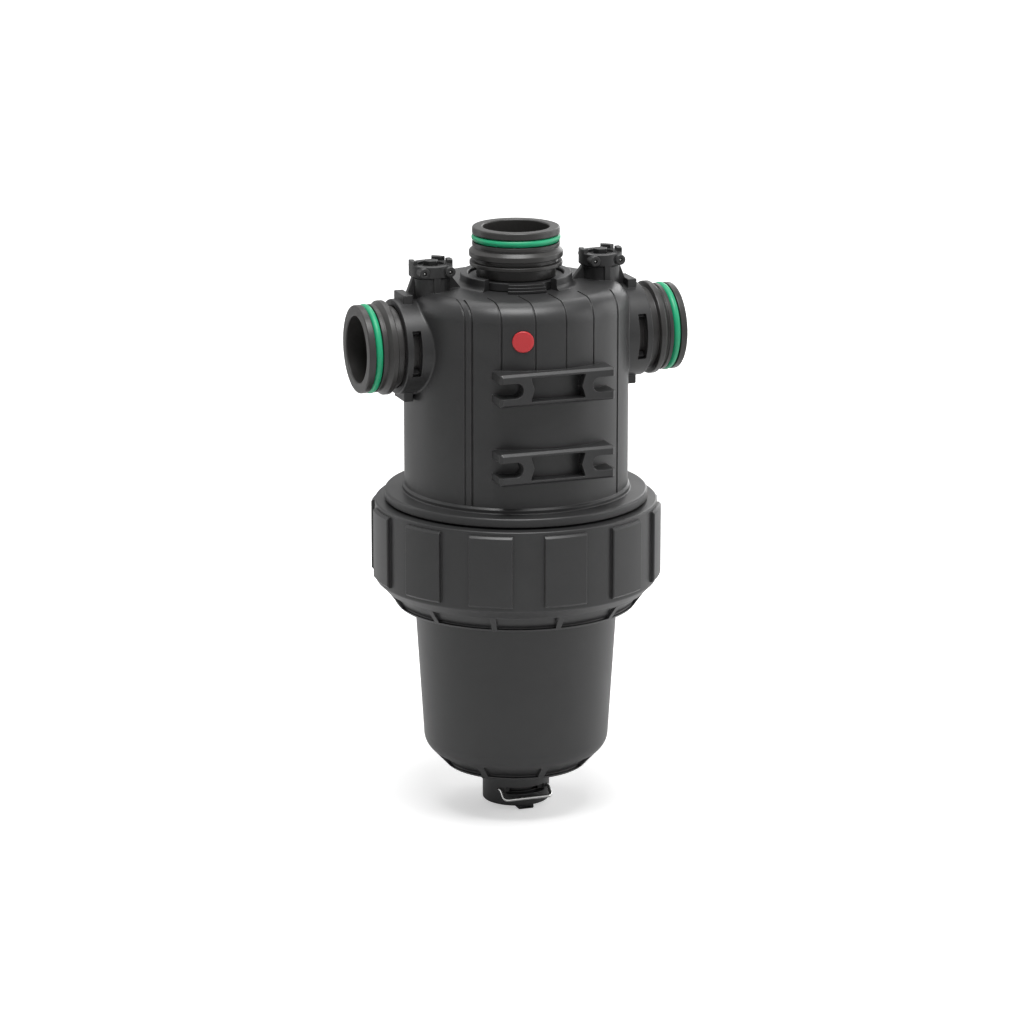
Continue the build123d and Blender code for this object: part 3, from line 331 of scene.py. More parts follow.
def carved(name, base, steps):
    """A mesh made from a base shape by steps, each a word and what it adds or cuts: shapes, or
    meshes that were carved before."""
    base_object = add(name, mesh_of(name, base))
    for operation, shapes in steps:
        group = bpy.data.collections.new(name + "_step")
        bpy.context.scene.collection.children.link(group)
        for shape in shapes:
            ready = isinstance(shape, bpy.types.Mesh)
            tool_mesh = shape if ready else mesh_of(name + "_tool", shape)
            group.objects.link(bpy.data.objects.new(name + "_tool", tool_mesh))
        modifier = base_object.modifiers.new("step", "BOOLEAN")
        modifier.operand_type = "COLLECTION"
        modifier.collection = group
        modifier.operation = operation
        modifier.solver = "MANIFOLD"
    evaluated = base_object.evaluated_get(bpy.context.evaluated_depsgraph_get())
    mesh = bpy.data.meshes.new_from_object(evaluated)
    for group in [modifier.collection for modifier in base_object.modifiers]:
        bpy.data.batch_remove([*group.objects, group])
    bpy.data.objects.remove(base_object)
    mesh.name = name
    return mesh


def finished(mesh, body, node_name, finish):
    """Makes a mesh's visible piece: smooth with sharp edges and weighted normals, its finish, the
    body that it rides on, and the node it stands for, which is hidden."""
    mesh.polygons.foreach_set("use_smooth", np.ones(len(mesh.polygons), bool))
    mesh.set_sharp_from_angle(angle=radians(SHARP_DEGREES))
    piece = add(mesh.name, mesh)
    weigh = piece.modifiers.new("weigh", "WEIGHTED_NORMAL")
    weigh.keep_sharp = True
    mesh.materials.clear()
    mesh.materials.append(materials[finish])
    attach(piece, body)
    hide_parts(node_name)
    print(mesh.name, "faces:", len(mesh.polygons))

# %% [markdown]
# Moulded plastic is never one flat colour. Close up it has a fine matt grain from the mould,
# broad, faint mottling where the melt flowed, and a painted highlight: slightly paler edges, as
# if light caught them. Grain and mottling are one shader node group, and the next one finds the
# edges for the painted highlight.

# %% Shader group: moulded grain
def new_group(name, inputs, outputs):
    """A shader node group with named float or vector sockets."""
    group = bpy.data.node_groups.new(name, "ShaderNodeTree")
    for label, kind, value in inputs:
        socket = group.interface.new_socket(label, in_out="INPUT", socket_type="NodeSocket" + kind)
        if value is not None:
            socket.default_value = value
    for label in outputs:
        group.interface.new_socket(label, in_out="OUTPUT", socket_type="NodeSocketFloat")
    entry = group.nodes.new("NodeGroupInput")
    leave = group.nodes.new("NodeGroupOutput")
    print("shader group:", name)
    return group, entry.outputs, leave


def feed(tree, node, inputs):
    """Gives a node its input values and its links."""
    for key, value in inputs.items():
        if isinstance(value, bpy.types.NodeSocket):
            tree.links.new(value, node.inputs[key])
        else:
            node.inputs[key].default_value = value


def node_of(tree, kind, inputs=None, **settings):
    """The outputs of a new shader node with its settings, its input values and its links."""
    node = tree.nodes.new("ShaderNode" + kind)
    for key, value in settings.items():
        setattr(node, key, value)
    feed(tree, node, inputs or {})
    return node.outputs


grain_inputs = [("Vector", "Vector", None), ("Grain Scale", "Float", 2500.0), ("Flow Scale", "Float", 22.0)]
grain_group, entry, leave = new_group("moulded_grain", grain_inputs, ["Height", "Mottle"])
grain = node_of(grain_group, "TexNoise", {
    "Vector": entry["Vector"], "Scale": entry["Grain Scale"], "Detail": 3.0, "Roughness": 0.6})
flow = node_of(grain_group, "TexNoise", {
    "Vector": entry["Vector"], "Scale": entry["Flow Scale"], "Detail": 4.0, "Roughness": 0.55,
    "Distortion": 0.6})
flow_range = node_of(grain_group, "MapRange", {
    "Value": flow["Fac"], "From Min": 0.3, "From Max": 0.7})
feed(grain_group, leave, {"Height": grain["Fac"], "Mottle": flow_range["Result"]})

# %% [markdown]
# The bevel node looks a small way around each point. Where the rounded normal leaves the true
# one, the point lies near an edge, and that band is a painted highlight, broken up by noise.

# %% Shader group: painted edge highlight
edge_highlight_inputs = [("Vector", "Vector", None), ("Radius", "Float", 0.0009), ("Noise Scale", "Float", 160.0)]
edge_highlight_group, entry, leave = new_group("painted_edge_highlight", edge_highlight_inputs, ["Highlight"])
near = node_of(edge_highlight_group, "Bevel", {"Radius": entry["Radius"]}, samples=4)
true_normal = node_of(edge_highlight_group, "NewGeometry")
likeness = node_of(edge_highlight_group, "VectorMath", {
    0: near["Normal"], 1: true_normal["Normal"]}, operation="DOT_PRODUCT")
# The band near edges is a painted highlight: it makes edges paler whatever the light.
band = node_of(edge_highlight_group, "MapRange", {
    "Value": likeness["Value"], "From Min": 0.98, "From Max": 0.75})
breaks = node_of(edge_highlight_group, "TexNoise", {
    "Vector": entry["Vector"], "Scale": entry["Noise Scale"], "Detail": 3.0})
breaks_range = node_of(edge_highlight_group, "MapRange", {
    "Value": breaks["Fac"], "From Min": 0.35, "From Max": 0.65, "To Min": 0.35})
edge_highlight = node_of(edge_highlight_group, "Math", {
    0: band["Result"], 1: breaks_range["Result"]}, operation="MULTIPLY")
feed(edge_highlight_group, leave, {"Highlight": edge_highlight["Value"]})

# %% [markdown]
# One function makes every moulded finish. Its base colour runs between a darker and a lighter
# value by the mottling, and goes paler along the edges as a painted highlight; the grain feeds a
# weak bump, whose normal starts from the bevel node, so that the finest edges catch light as
# moulded ones do.

# %% Moulded finishes
EDGE_RADIUS = 0.0004


def new_material(name):
    """A material's node tree, its shader and its object coordinates."""
    material = bpy.data.materials.new(name)
    material.use_nodes = True
    materials[name] = material
    print("finish:", name)
    tree = material.node_tree
    return tree, tree.nodes["Principled BSDF"], node_of(tree, "TexCoord")["Object"]


def plastic(name, dark, light, highlight_colour, roughness, grain_depth=0.00002, grain_scale=2500.0, highlight_strength=0.5):
    """A moulded finish with mottling, a painted edge highlight and grain."""
    tree, shader, place = new_material(name)
    grain = node_of(
        tree, "Group", {"Vector": place, "Grain Scale": grain_scale}, node_tree=grain_group)
    edge_highlight = node_of(tree, "Group", {"Vector": place}, node_tree=edge_highlight_group)
    mottled = node_of(tree, "Mix", {
        "Factor": grain["Mottle"], "A": (*dark, 1.0), "B": (*light, 1.0)}, data_type="RGBA")
    # Edges are mixed towards the paler third colour: a painted highlight.
    amount = node_of(tree, "Math", {0: edge_highlight["Highlight"], 1: highlight_strength}, operation="MULTIPLY")
    edged = node_of(tree, "Mix", {
        "Factor": amount["Value"], "A": mottled["Result"], "B": (*highlight_colour, 1.0)}, data_type="RGBA")
    rough = node_of(tree, "MapRange", {
        "Value": grain["Mottle"], "To Min": roughness - 0.03, "To Max": roughness + 0.04})
    soft_edge = node_of(tree, "Bevel", {"Radius": EDGE_RADIUS}, samples=4)
    bump = node_of(tree, "Bump", {
        "Distance": grain_depth, "Height": grain["Height"], "Normal": soft_edge["Normal"]})
    feed(tree, shader, {
        "Base Color": edged["Result"], "Roughness": rough["Result"], "Normal": bump["Normal"]})


# The third colour of each finish is its painted edge highlight.
plastic("housing_plastic", (0.022, 0.022, 0.0225), (0.029, 0.029, 0.0295), (0.095, 0.095, 0.095),
        roughness=0.40)
plastic("nipple_plastic", (0.029, 0.0278, 0.0268), (0.038, 0.0365, 0.035), (0.12, 0.115, 0.11),
        roughness=0.36, grain_scale=1500.0)
plastic("clip_plastic", (0.012, 0.012, 0.0125), (0.017, 0.017, 0.0175), (0.06, 0.06, 0.06),
        roughness=0.42)
plastic("marker_plastic", (0.58, 0.036, 0.043), (0.68, 0.046, 0.053), (0.72, 0.11, 0.11),
        roughness=0.36, grain_depth=0.000015, highlight_strength=0.3)
plastic("green_rubber", (0.010, 0.36, 0.165), (0.016, 0.43, 0.20), (0.05, 0.48, 0.27),
        roughness=0.40, grain_depth=0.000015, highlight_strength=0.2)
plastic("black_rubber", (0.010, 0.010, 0.010), (0.015, 0.015, 0.015), (0.03, 0.03, 0.03),
        roughness=0.5, highlight_strength=0.2)
plastic("screen_plastic", (0.05, 0.05, 0.052), (0.07, 0.07, 0.072), (0.14, 0.14, 0.14),
        roughness=0.45)

# %% [markdown]
# The wire clips are bright drawn stainless steel. Drawing leaves very fine marks and the bends
# keep a little dullness, so the metal has the same noise in its colour, roughness and bump.

# %% Drawn steel and woven steel
def steel(name, colour, roughness):
    """Drawn stainless wire: metal, with noise in roughness and a fine bump."""
    tree, shader, place = new_material(name)
    noise = node_of(tree, "TexNoise", {"Vector": place, "Scale": 900.0, "Detail": 4.0})["Fac"]
    duller = [0.82 * channel for channel in colour]
    tint = node_of(tree, "Mix", {
        "Factor": noise, "A": (*duller, 1.0), "B": (*colour, 1.0)}, data_type="RGBA")
    rough = node_of(tree, "MapRange", {
        "Value": noise, "To Min": roughness - 0.06, "To Max": roughness + 0.08})
    bump = node_of(tree, "Bump", {"Distance": 0.00001, "Height": noise})
    feed(tree, shader, {
        "Base Color": tint["Result"], "Metallic": 1.0, "Roughness": rough["Result"],
        "Normal": bump["Normal"]})


steel("wire_steel", (0.78, 0.78, 0.77), 0.24)
steel("mesh_steel", (0.60, 0.60, 0.58), 0.36)

# %% [markdown]
# The head is one moulding. Its outer form is turned: a low collar for the top clip, a flat deck,
# a round shoulder, a straight wall, a bead, the flange and the skirt that carries the thread.
# The shoulder is a quarter circle, whose centre lies on a ring inside the body.

# %% Head: turned outer form
body_radius = 73.2
shoulder_radius = 13.4
deck_height = -37.6
port_height = -73.6
port_reach = 109.2
flange_top = -173.5
wall_foot = flange_top + 3.7
flange_bottom = -179.3
flange_radius = 86.1
bead_radius = 74.5
skirt_radius = 80.0
skirt_end = -224.5
collar_radius = 36.3
collar_top = -30.0

ring_radius = body_radius - shoulder_radius
ring_height = deck_height - shoulder_radius

head_form = lathe(
    [(0, collar_top), (collar_radius, collar_top), (collar_radius, deck_height),
     (body_radius, deck_height), (body_radius, wall_foot), (bead_radius, flange_top + 2.4),
     (bead_radius, flange_top), (flange_radius, flange_top), (flange_radius, flange_bottom),
     (skirt_radius, flange_bottom), (skirt_radius, skirt_end), (0, skirt_end)],
    [0, 0.8, 3.4, shoulder_radius, 0.6, 0.5, 0.7, 1.6, 0.5, 0.4, 0.6, 0], around=256, steps=8)
print("points of the outer form:", len(head_form[0]))

# %% [markdown]
# Each side socket is a short tube that runs into the body. A mould maker leaves a fillet where
# they meet. A ball that rolls in the corner has its centre at both radii plus its own, so the
# fillet is an arc between the ball's two contact points, carried round the socket.

# %% Head: side sockets with their fillets
socket_radius = 30.8
socket_bore = 26.0
socket_end = 84.2
fillet_radius = 1.5


def socket_fillet(radius, steps=10, around=160):
    """The fillet between the right socket and the body with its shoulder. For an angle round the
    socket, the ball's centre is at the socket's radius plus its own, and its reach along X is
    where the grown body has that depth and height. The body's contact is the centre pulled
    straight back to the wall or to the shoulder's circle."""
    angle = np.linspace(0.0, 2 * pi, around, endpoint=False)
    depth = (socket_radius + radius) * np.cos(angle)
    height = port_height + (socket_radius + radius) * np.sin(angle)
    above = np.maximum(height - ring_height, 0.0)
    grown = ring_radius + np.sqrt(np.maximum((shoulder_radius + radius) ** 2 - above**2, 0.0))
    reach = np.sqrt(grown**2 - depth**2)
    centre = np.stack([reach, depth, height], axis=1)
    outward = np.stack([reach, depth, np.zeros_like(reach)], axis=1) / grown[:, None]
    ring_point = outward * ring_radius
    ring_point[:, 2] = np.minimum(height, ring_height)
    to_body = unit(ring_point - centre)
    to_socket = np.stack([np.zeros_like(angle), -np.cos(angle), -np.sin(angle)], axis=1)
    swing = np.arccos(np.clip((to_body * to_socket).sum(1), -1.0, 1.0))[:, None, None]
    share = np.linspace(0.0, 1.0, steps + 1)[None, :, None]
    arm = np.sin((1 - share) * swing) * to_body[:, None] + np.sin(share * swing) * to_socket[:, None]
    arc = centre[:, None] + radius * arm / np.sin(swing)
    root = centre + 1.5 * radius * (to_body + to_socket)
    return skin(np.concatenate([arc, root[:, None]], axis=1), True, False)


def along_port(shape, side):
    """A shape turned about Z carried to a side port: its height becomes the reach along X, and
    its front stays in front."""
    return placed(shape, (0, 0, port_height), (0, 0, 1), (0, 1, 0), (side, 0, 0))


SIDES = (-1, 1)
SIDE_NAMES = (("left", -1), ("right", 1))
socket = lathe(box(0, 20, socket_radius, socket_end), [0, 0, 0.9, 0])
sockets = [along_port(socket, side) for side in SIDES]
fillet = socket_fillet(fillet_radius)
fillets = [on_side(fillet, side) for side in SIDES]
print("points of a fillet:", len(fillet[0]))

# %% [markdown]
# Round each socket's mouth lie the parts that lock the nipple: a block above and one below, a
# window in front where the tips of an open ring show, and a slot behind that lets it in.

# %% Head: lugs, windows and bores of the side sockets
lug_inner = 73.8
lug_outer = 80.2
lug_half = 10.0
lug_top = 35.0
clip_room_inner = 74.4
clip_groove = 28.8
window_half = 15.0
back_slot_half = 13.3
passage_radius = 21.6
spigot_floor = 59.7

groove = lathe(box(0, clip_room_inner, clip_groove, lug_outer), around=128)
bore = lathe(
    [(0, 26), (passage_radius, 26), (passage_radius, spigot_floor), (socket_bore, spigot_floor),
     (socket_bore, socket_end - 0.8), (socket_bore + 1.6, socket_end + 0.8), (0, socket_end + 0.8)],
    [0, 0, 0, 0.3, 0.4, 0, 0], around=128)
front_window = block(
    (clip_room_inner, -socket_radius - 5, port_height - window_half),
    (lug_outer, -socket_bore + 2, port_height + window_half), 0.4)
back_slot = block(
    (clip_room_inner, 0, port_height - back_slot_half),
    (lug_outer, socket_radius + 5, port_height + back_slot_half), 0.4)
lugs = []
for end in SIDES:
    low, high = sorted((port_height + end * (socket_radius - 3), port_height + end * lug_top))
    lug = block((lug_inner, -lug_half, low), (lug_outer, lug_half, high), 0.7)
    lugs += [on_side(lug, side) for side in SIDES]

windows = []
for side in SIDES:
    windows += [along_port(groove, side), on_side(front_window, side), on_side(back_slot, side)]
bores = [along_port(bore, side) for side in SIDES]
print("lugs:", len(lugs), "openings:", len(windows))

# %% [markdown]
# Two small towers on the sockets take the gauges. Each has a collar with a castellated crown,
# two eyes in front for the tips of the wire clip, a rib down its front, and thin fins that brace
# it along the port.

# %% Head: gauge towers
tower_x = 58.4
tower_radius = 12.4
tower_collar = 14.2
tower_top = -20.8
tower_neck = -28.1
crown_height = 2.7
crown_angles = (80, 140, 270)
crown_arc = 38.0
eye_radius = 3.4
tower_bore = 9.8
plug_floor = -40.8
wire_hole_radius = 1.3
wire_height = -24.5
wire_offset = 8.7
fin_half = 2.0

tower_root = -50.0
eye_front = tower_collar + 0.4
along_y = ((1, 0, 0), (0, 0, -1), (0, 1, 0))
column = lathe(
    [(0, tower_root), (tower_radius, tower_root), (tower_radius, tower_neck - 1.2),
     (tower_collar, tower_neck), (tower_collar, tower_top), (0, tower_top)],
    [0, 0, 0.6, 0.5, 0.5, 0], around=96)
crown = box(tower_bore + 0.8, tower_top - 2, tower_collar, tower_top + crown_height)
tabs = [lathe(crown, [0, 0, 0.6, 0.6], angle - crown_arc / 2, crown_arc, around=16)
        for angle in crown_angles]
eye = lathe(box(0, -eye_front, eye_radius, 0), [0, 0.6, 0, 0], around=48)
wire_hole = lathe(box(0, -28, wire_hole_radius, 28), around=24)
rib = block((-2.2, -tower_radius - 1.6, tower_root), (2.2, -tower_radius + 3, tower_neck + 0.5), 0.5)
plug_hole = lathe(
    [(0, plug_floor), (tower_bore, plug_floor), (tower_bore, tower_top - 0.6),
     (tower_bore + 1.2, tower_top + 0.6), (0, tower_top + 0.6)], [0, 0, 0.3, 0, 0], around=64)
fin_corners = [
    [(tower_radius - 3, tower_neck), (tower_radius, tower_neck), (17.0, port_height + lug_top - 1.2),
     (17.0, port_height + socket_radius - 4), (tower_radius - 3, port_height + socket_radius - 4)],
    [(-tower_radius + 3, tower_neck), (-tower_radius, tower_neck), (-19.5, deck_height + 0.4),
     (-19.5, deck_height - 4), (-tower_radius + 3, deck_height - 4)]]
fins = [prism(corners, 0.6, rim(-fin_half, fin_half, 0.5)) for corners in fin_corners]

towers = []
tower_cuts = []
for side in SIDES:
    origin = (side * tower_x, 0, 0)
    towers += [moved(shape, origin) for shape in [column, rib] + tabs]
    towers += [placed(fin, origin, (side, 0, 0), (0, 0, 1), (0, -1, 0)) for fin in fins]
    tower_cuts.append(moved(plug_hole, origin))
    for eye_side in SIDES:
        eye_place = (side * tower_x + eye_side * wire_offset, 0, wire_height)
        towers.append(placed(eye, eye_place, *along_y))
        tower_cuts.append(placed(wire_hole, eye_place, *along_y))
print("tower parts:", len(towers), "cuts:", len(tower_cuts))

# %% [markdown]
# The two bracket rails stand on the front. Each is a bar with a bevelled front edge, a slot open
# at each end for a bolt and a window with a notch in each end between them. The bars are cut
# before they join the body, so that its wall closes the windows from behind.

# %% Head: bracket rails
rail_front = 79.0
rail_back = 49.0
rail_half = 39.0
rail_height = 21.3
rail_heights = (-90.4, -141.9)
rail_bevel = 1.6
slot_half = 4.85
slot_centre = 28.5
rail_window_half = 18.5
window_rise = 7.75
notch_depth = 2.4
facing_front = ((1, 0, 0), (0, 0, 1), (0, -1, 0))

bar_layers = [(rail_back, 0.0), (rail_front - rail_bevel - 0.2, 0.0), (rail_front - rail_bevel, -0.05),
              (rail_front - 0.15, -rail_bevel + 0.12), (rail_front, -rail_bevel - 0.1)]
mouth = [(rail_back - 2.0, 0.0), (rail_front - 0.5, 0.0), (rail_front - 0.15, 0.1),
         (rail_front + 0.15, 0.4), (rail_front + 1.0, 0.4)]
window = [(-rail_window_half, -window_rise), (rail_window_half, -window_rise),
          (rail_window_half - notch_depth, 0), (rail_window_half, window_rise),
          (-rail_window_half, window_rise), (-rail_window_half + notch_depth, 0)]
bar = prism(box(-rail_half, -rail_height / 2, rail_half, rail_height / 2), 1.8, bar_layers)
openings = [prism(window, 0.7, mouth)]
for side in SIDES:
    slot = box(side * (slot_centre - slot_half), -slot_half, side * (rail_half + 6.0), slot_half)
    openings.append(prism(slot, slot_half - 0.02, mouth, steps=12))

rails = []
rail_cuts = []
for height in rail_heights:
    rails.append(placed(bar, (0, 0, height), *facing_front))
    rail_cuts += [placed(opening, (0, 0, height), *facing_front) for opening in openings]
rail_bars = carved("rail_bars", rails[0], [("UNION", rails[1:]), ("DIFFERENCE", rail_cuts)])
print("rails:", len(rails), "faces:", len(rail_bars.polygons))

# %% [markdown]
# Fine lines part the front into panels. They follow the deck, the shoulder and the wall, so each
# cutter is a thin curved strip: the body's own section at that place, moved in by the line's
# depth, and closed well outside.

# %% Head: panel lines
line_back = 38.5
line_depth = 0.9
line_half = 0.55


def body_section(offset_x, inset, bottom, steps=24):
    """Depth and height of the body's front at one X: on the shoulder the radius is the ring's
    plus the cosine of an angle, and the depth is what is left of it beside the X. The section
    ends on the deck, behind the shoulder."""
    angle = np.linspace(0.0, pi / 2, steps)
    radius = ring_radius + (shoulder_radius - inset) * np.cos(angle)
    height = ring_height + (shoulder_radius - inset) * np.sin(angle)
    radius = np.concatenate([[body_radius - inset], radius])
    height = np.concatenate([[bottom], height])
    depth = np.sqrt(np.maximum(radius**2 - offset_x**2, 1.0))
    return np.vstack([np.stack([depth, height], axis=1), [[line_back, height[-1]]]])


def panel_line(offset_x, bottom, half=line_half, depth=line_depth):
    """A cutter for one line, as a closed section in depth and height pulled across X."""
    ring = np.vstack([body_section(offset_x, depth, bottom), body_section(offset_x, -3.0, bottom)[::-1]])
    strip = pulled(ring, np.zeros_like(ring), [(offset_x - half, 0), (offset_x + half, 0)])
    return placed(strip, (0, 0, 0), (0, -1, 0), (0, 0, 1), (1, 0, 0))


line_first = -33.5
line_pitch = 20.5
line_end = rail_heights[0] + rail_height / 2 - 1.0
panel_cuts = [panel_line(line_first + line_pitch * number, line_end) for number in range(4)]
panel_cuts += [
    panel_line(-52.9, wall_foot, half=0.4, depth=0.5), panel_line(-49.4, wall_foot),
    panel_line(50.0, wall_foot, half=0.8, depth=1.0)]
print("panel lines:", len(panel_cuts))

# %% [markdown]
# Inside, the head is a chamber open below, with the outlet tube down its middle and the inner
# ends of the side sockets. The top collar is bored out for its open-ring clip and has a wide
# gap in front where the clip's handle sits.

# %% Head: chamber, outlet tube, bores and collar gap
chamber_top = -47.4
neck_start = -200.4
chamber_radius = 68.2
skirt_bore = 70.5
tube_radius = 27.0
tube_end = -170.0
top_floor = -49.5
collar_floor = -37.8
collar_bore = 31.0
gap_start = -54.0
gap_sweep = 80.0

chamber = lathe(
    [(0, chamber_top), (chamber_radius, chamber_top), (chamber_radius, neck_start),
     (skirt_bore, neck_start), (skirt_bore, skirt_end - 5), (0, skirt_end - 5)],
    [0, 8.4, 0, 0, 0, 0], around=256)
tube = lathe(box(0, -42, tube_radius, tube_end), [0, 0, 0.8, 0])
inner_socket = lathe(box(0, 55.2, socket_radius, 72.0))
top_bore = lathe(
    [(0, tube_end - 2), (passage_radius, tube_end - 2), (passage_radius, top_floor),
     (socket_bore, top_floor), (socket_bore, collar_floor), (collar_bore, collar_floor),
     (collar_bore, collar_top - 0.6), (collar_bore + 1.2, collar_top + 0.6), (0, collar_top + 0.6)],
    [0, 0, 0, 0.3, 0, 0.5, 0.4, 0, 0])
collar_gap = lathe(box(28.0, -37.7, 40.0, -20.0), [0.3, 0.3, 0, 0], gap_start, gap_sweep, around=64)

marker_radius = 6.9
marker_x = -20.8
marker_height = -60.8
marker_arc = body_radius * np.arcsin(marker_x / body_radius)


def marker_disc(layers):
    """A round disc at the marker's place on the wall, pulled through its layers."""
    corners = box(-marker_radius, -marker_radius, marker_radius, marker_radius)
    disc = prism(corners, marker_radius - 0.01, layers, steps=16)
    return wrapped(moved(disc, (marker_arc, marker_height, 0.0)), body_radius)


marker_seat = marker_disc([
    (body_radius - 2.5, 0.15), (body_radius - 0.5, 0.15), (body_radius + 2.0, 0.6)])

head_mesh = carved("head_shell", head_form, [
    ("UNION", sockets + fillets + lugs + towers),
    ("DIFFERENCE", panel_cuts),
    ("UNION", [rail_bars]),
    ("DIFFERENCE", [chamber]),
    ("UNION", [tube] + [along_port(inner_socket, side) for side in SIDES]),
    ("DIFFERENCE", bores + windows + tower_cuts + [marker_seat, top_bore, collar_gap]),
])
finished(head_mesh, "head", "head", "housing_plastic")

# %% [markdown]
# The three nipples are turned alike: a lip, the green ring's groove, a sealing land and a cone
# with a ridge that a coupling locks behind, then a neck and the spigot that goes into the
# socket. The top one has a second ridge on its longer neck.

# %% Nipples and their rings
land = 28.5
ring_floor = 24.3
ridge = 30.5
waist = 26.6
spigot = 25.7
clip_floor = 23.7
inner_ring_floor = 22.9
nipple_corners = [
    (passage_radius, 0), (land, 0), (land, 4.5), (ring_floor, 4.5), (ring_floor, 9.7), (land, 9.7),
    (land, 12.3), (27.7, 12.3), (27.7, 13.1), (ridge, 15.7), (ridge, 19.4), (waist, 19.4)]
nipple_radii = [0.9, 1.1, 0.5, 0.3, 0.3, 0.5, 0.3, 0.2, 0.3, 1.0, 0.8, 0.5]
side_neck = [(waist, 24.4), (spigot, 24.4)]
top_neck = [(waist, 22.4), (30.2, 22.4), (30.2, 25.0), (spigot, 25.0)]
necks = {"left": side_neck, "right": side_neck, "top": top_neck}
nipple_tail = [
    (spigot, 43.6), (inner_ring_floor, 43.6), (inner_ring_floor, 47.0), (spigot, 47.0),
    (spigot, 49.2), (passage_radius, 49.2)]
clip_grooves = {"left": (29.0, 34.8), "right": (29.0, 34.8), "top": (31.8, 37.8)}
ports = {
    "left": ((-port_reach, 0, port_height), (0, 1, 0), (0, 0, 1), (1, 0, 0)),
    "right": ((port_reach, 0, port_height), (0, 1, 0), (0, 0, 1), (-1, 0, 0)),
    "top": ((0, 0, 0), (1, 0, 0), (0, 1, 0), (0, 0, -1)),
}
ring_section = 2.3
ring_centre = (26.6, 7.1)
green_ring = turned(ring_centre + circle(ring_section, 32))

for name, port in ports.items():
    start, end = clip_grooves[name]
    groove = [(spigot, start), (clip_floor, start), (clip_floor, end), (spigot, end)]
    corners = nipple_corners + necks[name] + groove + nipple_tail
    radii = nipple_radii + [0.5] * len(necks[name]) + [0.2] * (len(groove) + len(nipple_tail))
    nipple = lathe(corners, radii, steps=5)
    nipple_mesh = mesh_of(name + "_nipple_turned", placed(nipple, *port))
    finished(nipple_mesh, name + "_nipple", name + "_nipple", "nipple_plastic")
    ring_mesh = mesh_of(name + "_green_ring", placed(green_ring, *port))
    finished(ring_mesh, name + "_nipple", name + "_outer_seal", "green_rubber")

# %% [markdown]
# The open-ring clips lock the nipples. A side clip shows only its two tips, in the socket's
# window. The top clip has a stepped handle in the collar's gap, in three layers for a finger.

# %% Clips of the nipples and the mesh marker
side_clip_inner = 24.0
side_clip_outer = 28.5
tip_half = 12.0
clip_opening = 2 * np.degrees(np.arcsin(tip_half / (side_clip_outer - 2)))
open_ring = lathe(
    box(side_clip_inner, clip_room_inner + 0.3, side_clip_outer, lug_outer - 0.3),
    0.5, clip_opening / 2, 360 - clip_opening, around=96)
for name, side in SIDE_NAMES:
    clip_mesh = mesh_of(name + "_open_ring", along_port(open_ring, side))
    finished(clip_mesh, "head", name + "_clip", "clip_plastic")

top_clip_bottom = -37.5
top_clip_height = 5.4
top_clip_outer = 30.7
handle_root = 27.0
handle_start = -28.0
handle_sweep = 40.0
layer_height = top_clip_height / 3
top_band = lathe(
    box(side_clip_inner, top_clip_bottom, top_clip_outer, top_clip_bottom + top_clip_height),
    0.5, -140, 280, around=128)
handle_layers = []
for layer in range(3):
    low = top_clip_bottom + layer * layer_height
    reach = collar_radius + 0.8 - 1.2 * layer
    step = box(handle_root, low, reach, low + layer_height)
    handle_layers.append(lathe(step, [0, 0.35, 0.35, 0], handle_start, handle_sweep, around=48))
clip_mesh = carved("top_open_ring", top_band, [("UNION", handle_layers)])
finished(clip_mesh, "head", "top_clip", "clip_plastic")

marker_mesh = mesh_of("red_marker", marker_disc(rim(body_radius - 2.4, body_radius + 1.2, 0.8)))
finished(marker_mesh, "head", "mesh_marker", "marker_plastic")

# %% [markdown]
# A gauge plug closes each tower. It is a short turned plug whose top is hollow round a six-sided
# grip, as moulds leave it, and a fork of bright wire, put in from behind, runs through the
# collar and the plug's groove to hold it.

# %% Gauge plugs and their wire clips
plug_radius = 9.5
plug_groove = 7.5
plug_hollow = 6.6
plug_rim = 8.7
grip_radius = 5.0
wire_radius = 1.0
groove_top = wire_height + 1.1
groove_foot = wire_height - 1.1
stopper = lathe(
    [(0, -27.0), (plug_hollow, -27.0), (plug_hollow, -22.8), (plug_rim, -22.8), (plug_rim, tower_top),
     (plug_radius, tower_top), (plug_radius, groove_top), (plug_groove, groove_top),
     (plug_groove, groove_foot), (plug_radius, groove_foot), (plug_radius, -39.6), (0, -39.6)],
    [0, 0.3, 0.3, 0.2, 0.2, 0.3, 0.1, 0.1, 0.2, 0.2, 0.4, 0], around=96)
grip = prism(circle(grip_radius, 6), 0.5, rim(-28.0, tower_top + 2.2, 0.4))
legs = rounded_path(
    [(wire_offset, -13.0), (wire_offset, 18.5), (-wire_offset, 18.5), (-wire_offset, -13.0)], 3.0, steps=10)
for name, side in SIDE_NAMES:
    origin = (side * tower_x, 0, 0)
    plug_mesh = carved("gauge_stopper_" + name, moved(stopper, origin), [("UNION", [moved(grip, origin)])])
    finished(plug_mesh, "gauge_plug_" + name, "gauge_plug_" + name, "clip_plastic")
    line = np.column_stack([legs[:, 0] + side * tower_x, legs[:, 1], np.full(len(legs), wire_height)])
    clip_mesh = mesh_of("gauge_wire_" + name, wire(line, wire_radius))
    finished(clip_mesh, "gauge_clip_" + name, "gauge_clip_" + name, "wire_steel")

# %% [markdown]
# The ring nut draws the bowl up. Twelve finger pads stand on its outside, and its underside is a
# ring of pockets between twelve ribs, as a mould needs to keep the walls even.

# %% Ring nut
nut_top = -180.6
nut_bottom = -250.5
nut_radius = 92.6
nut_bore = 80.6
nut_neck = 69.0
nut_shelf = -231.3
nut_cone_top = -233.3
nut_band = -239.0
underside_radius = 86.9
lip_radius = 78.6
pad_count = 12
pad_radius = 95.2
pad_half = radians(17.5 / 2) * nut_radius
pad_low = -230.7
pad_high = -183.4
pad_bevel = 1.4
pad_edge = 0.9
rib_half = 1.9

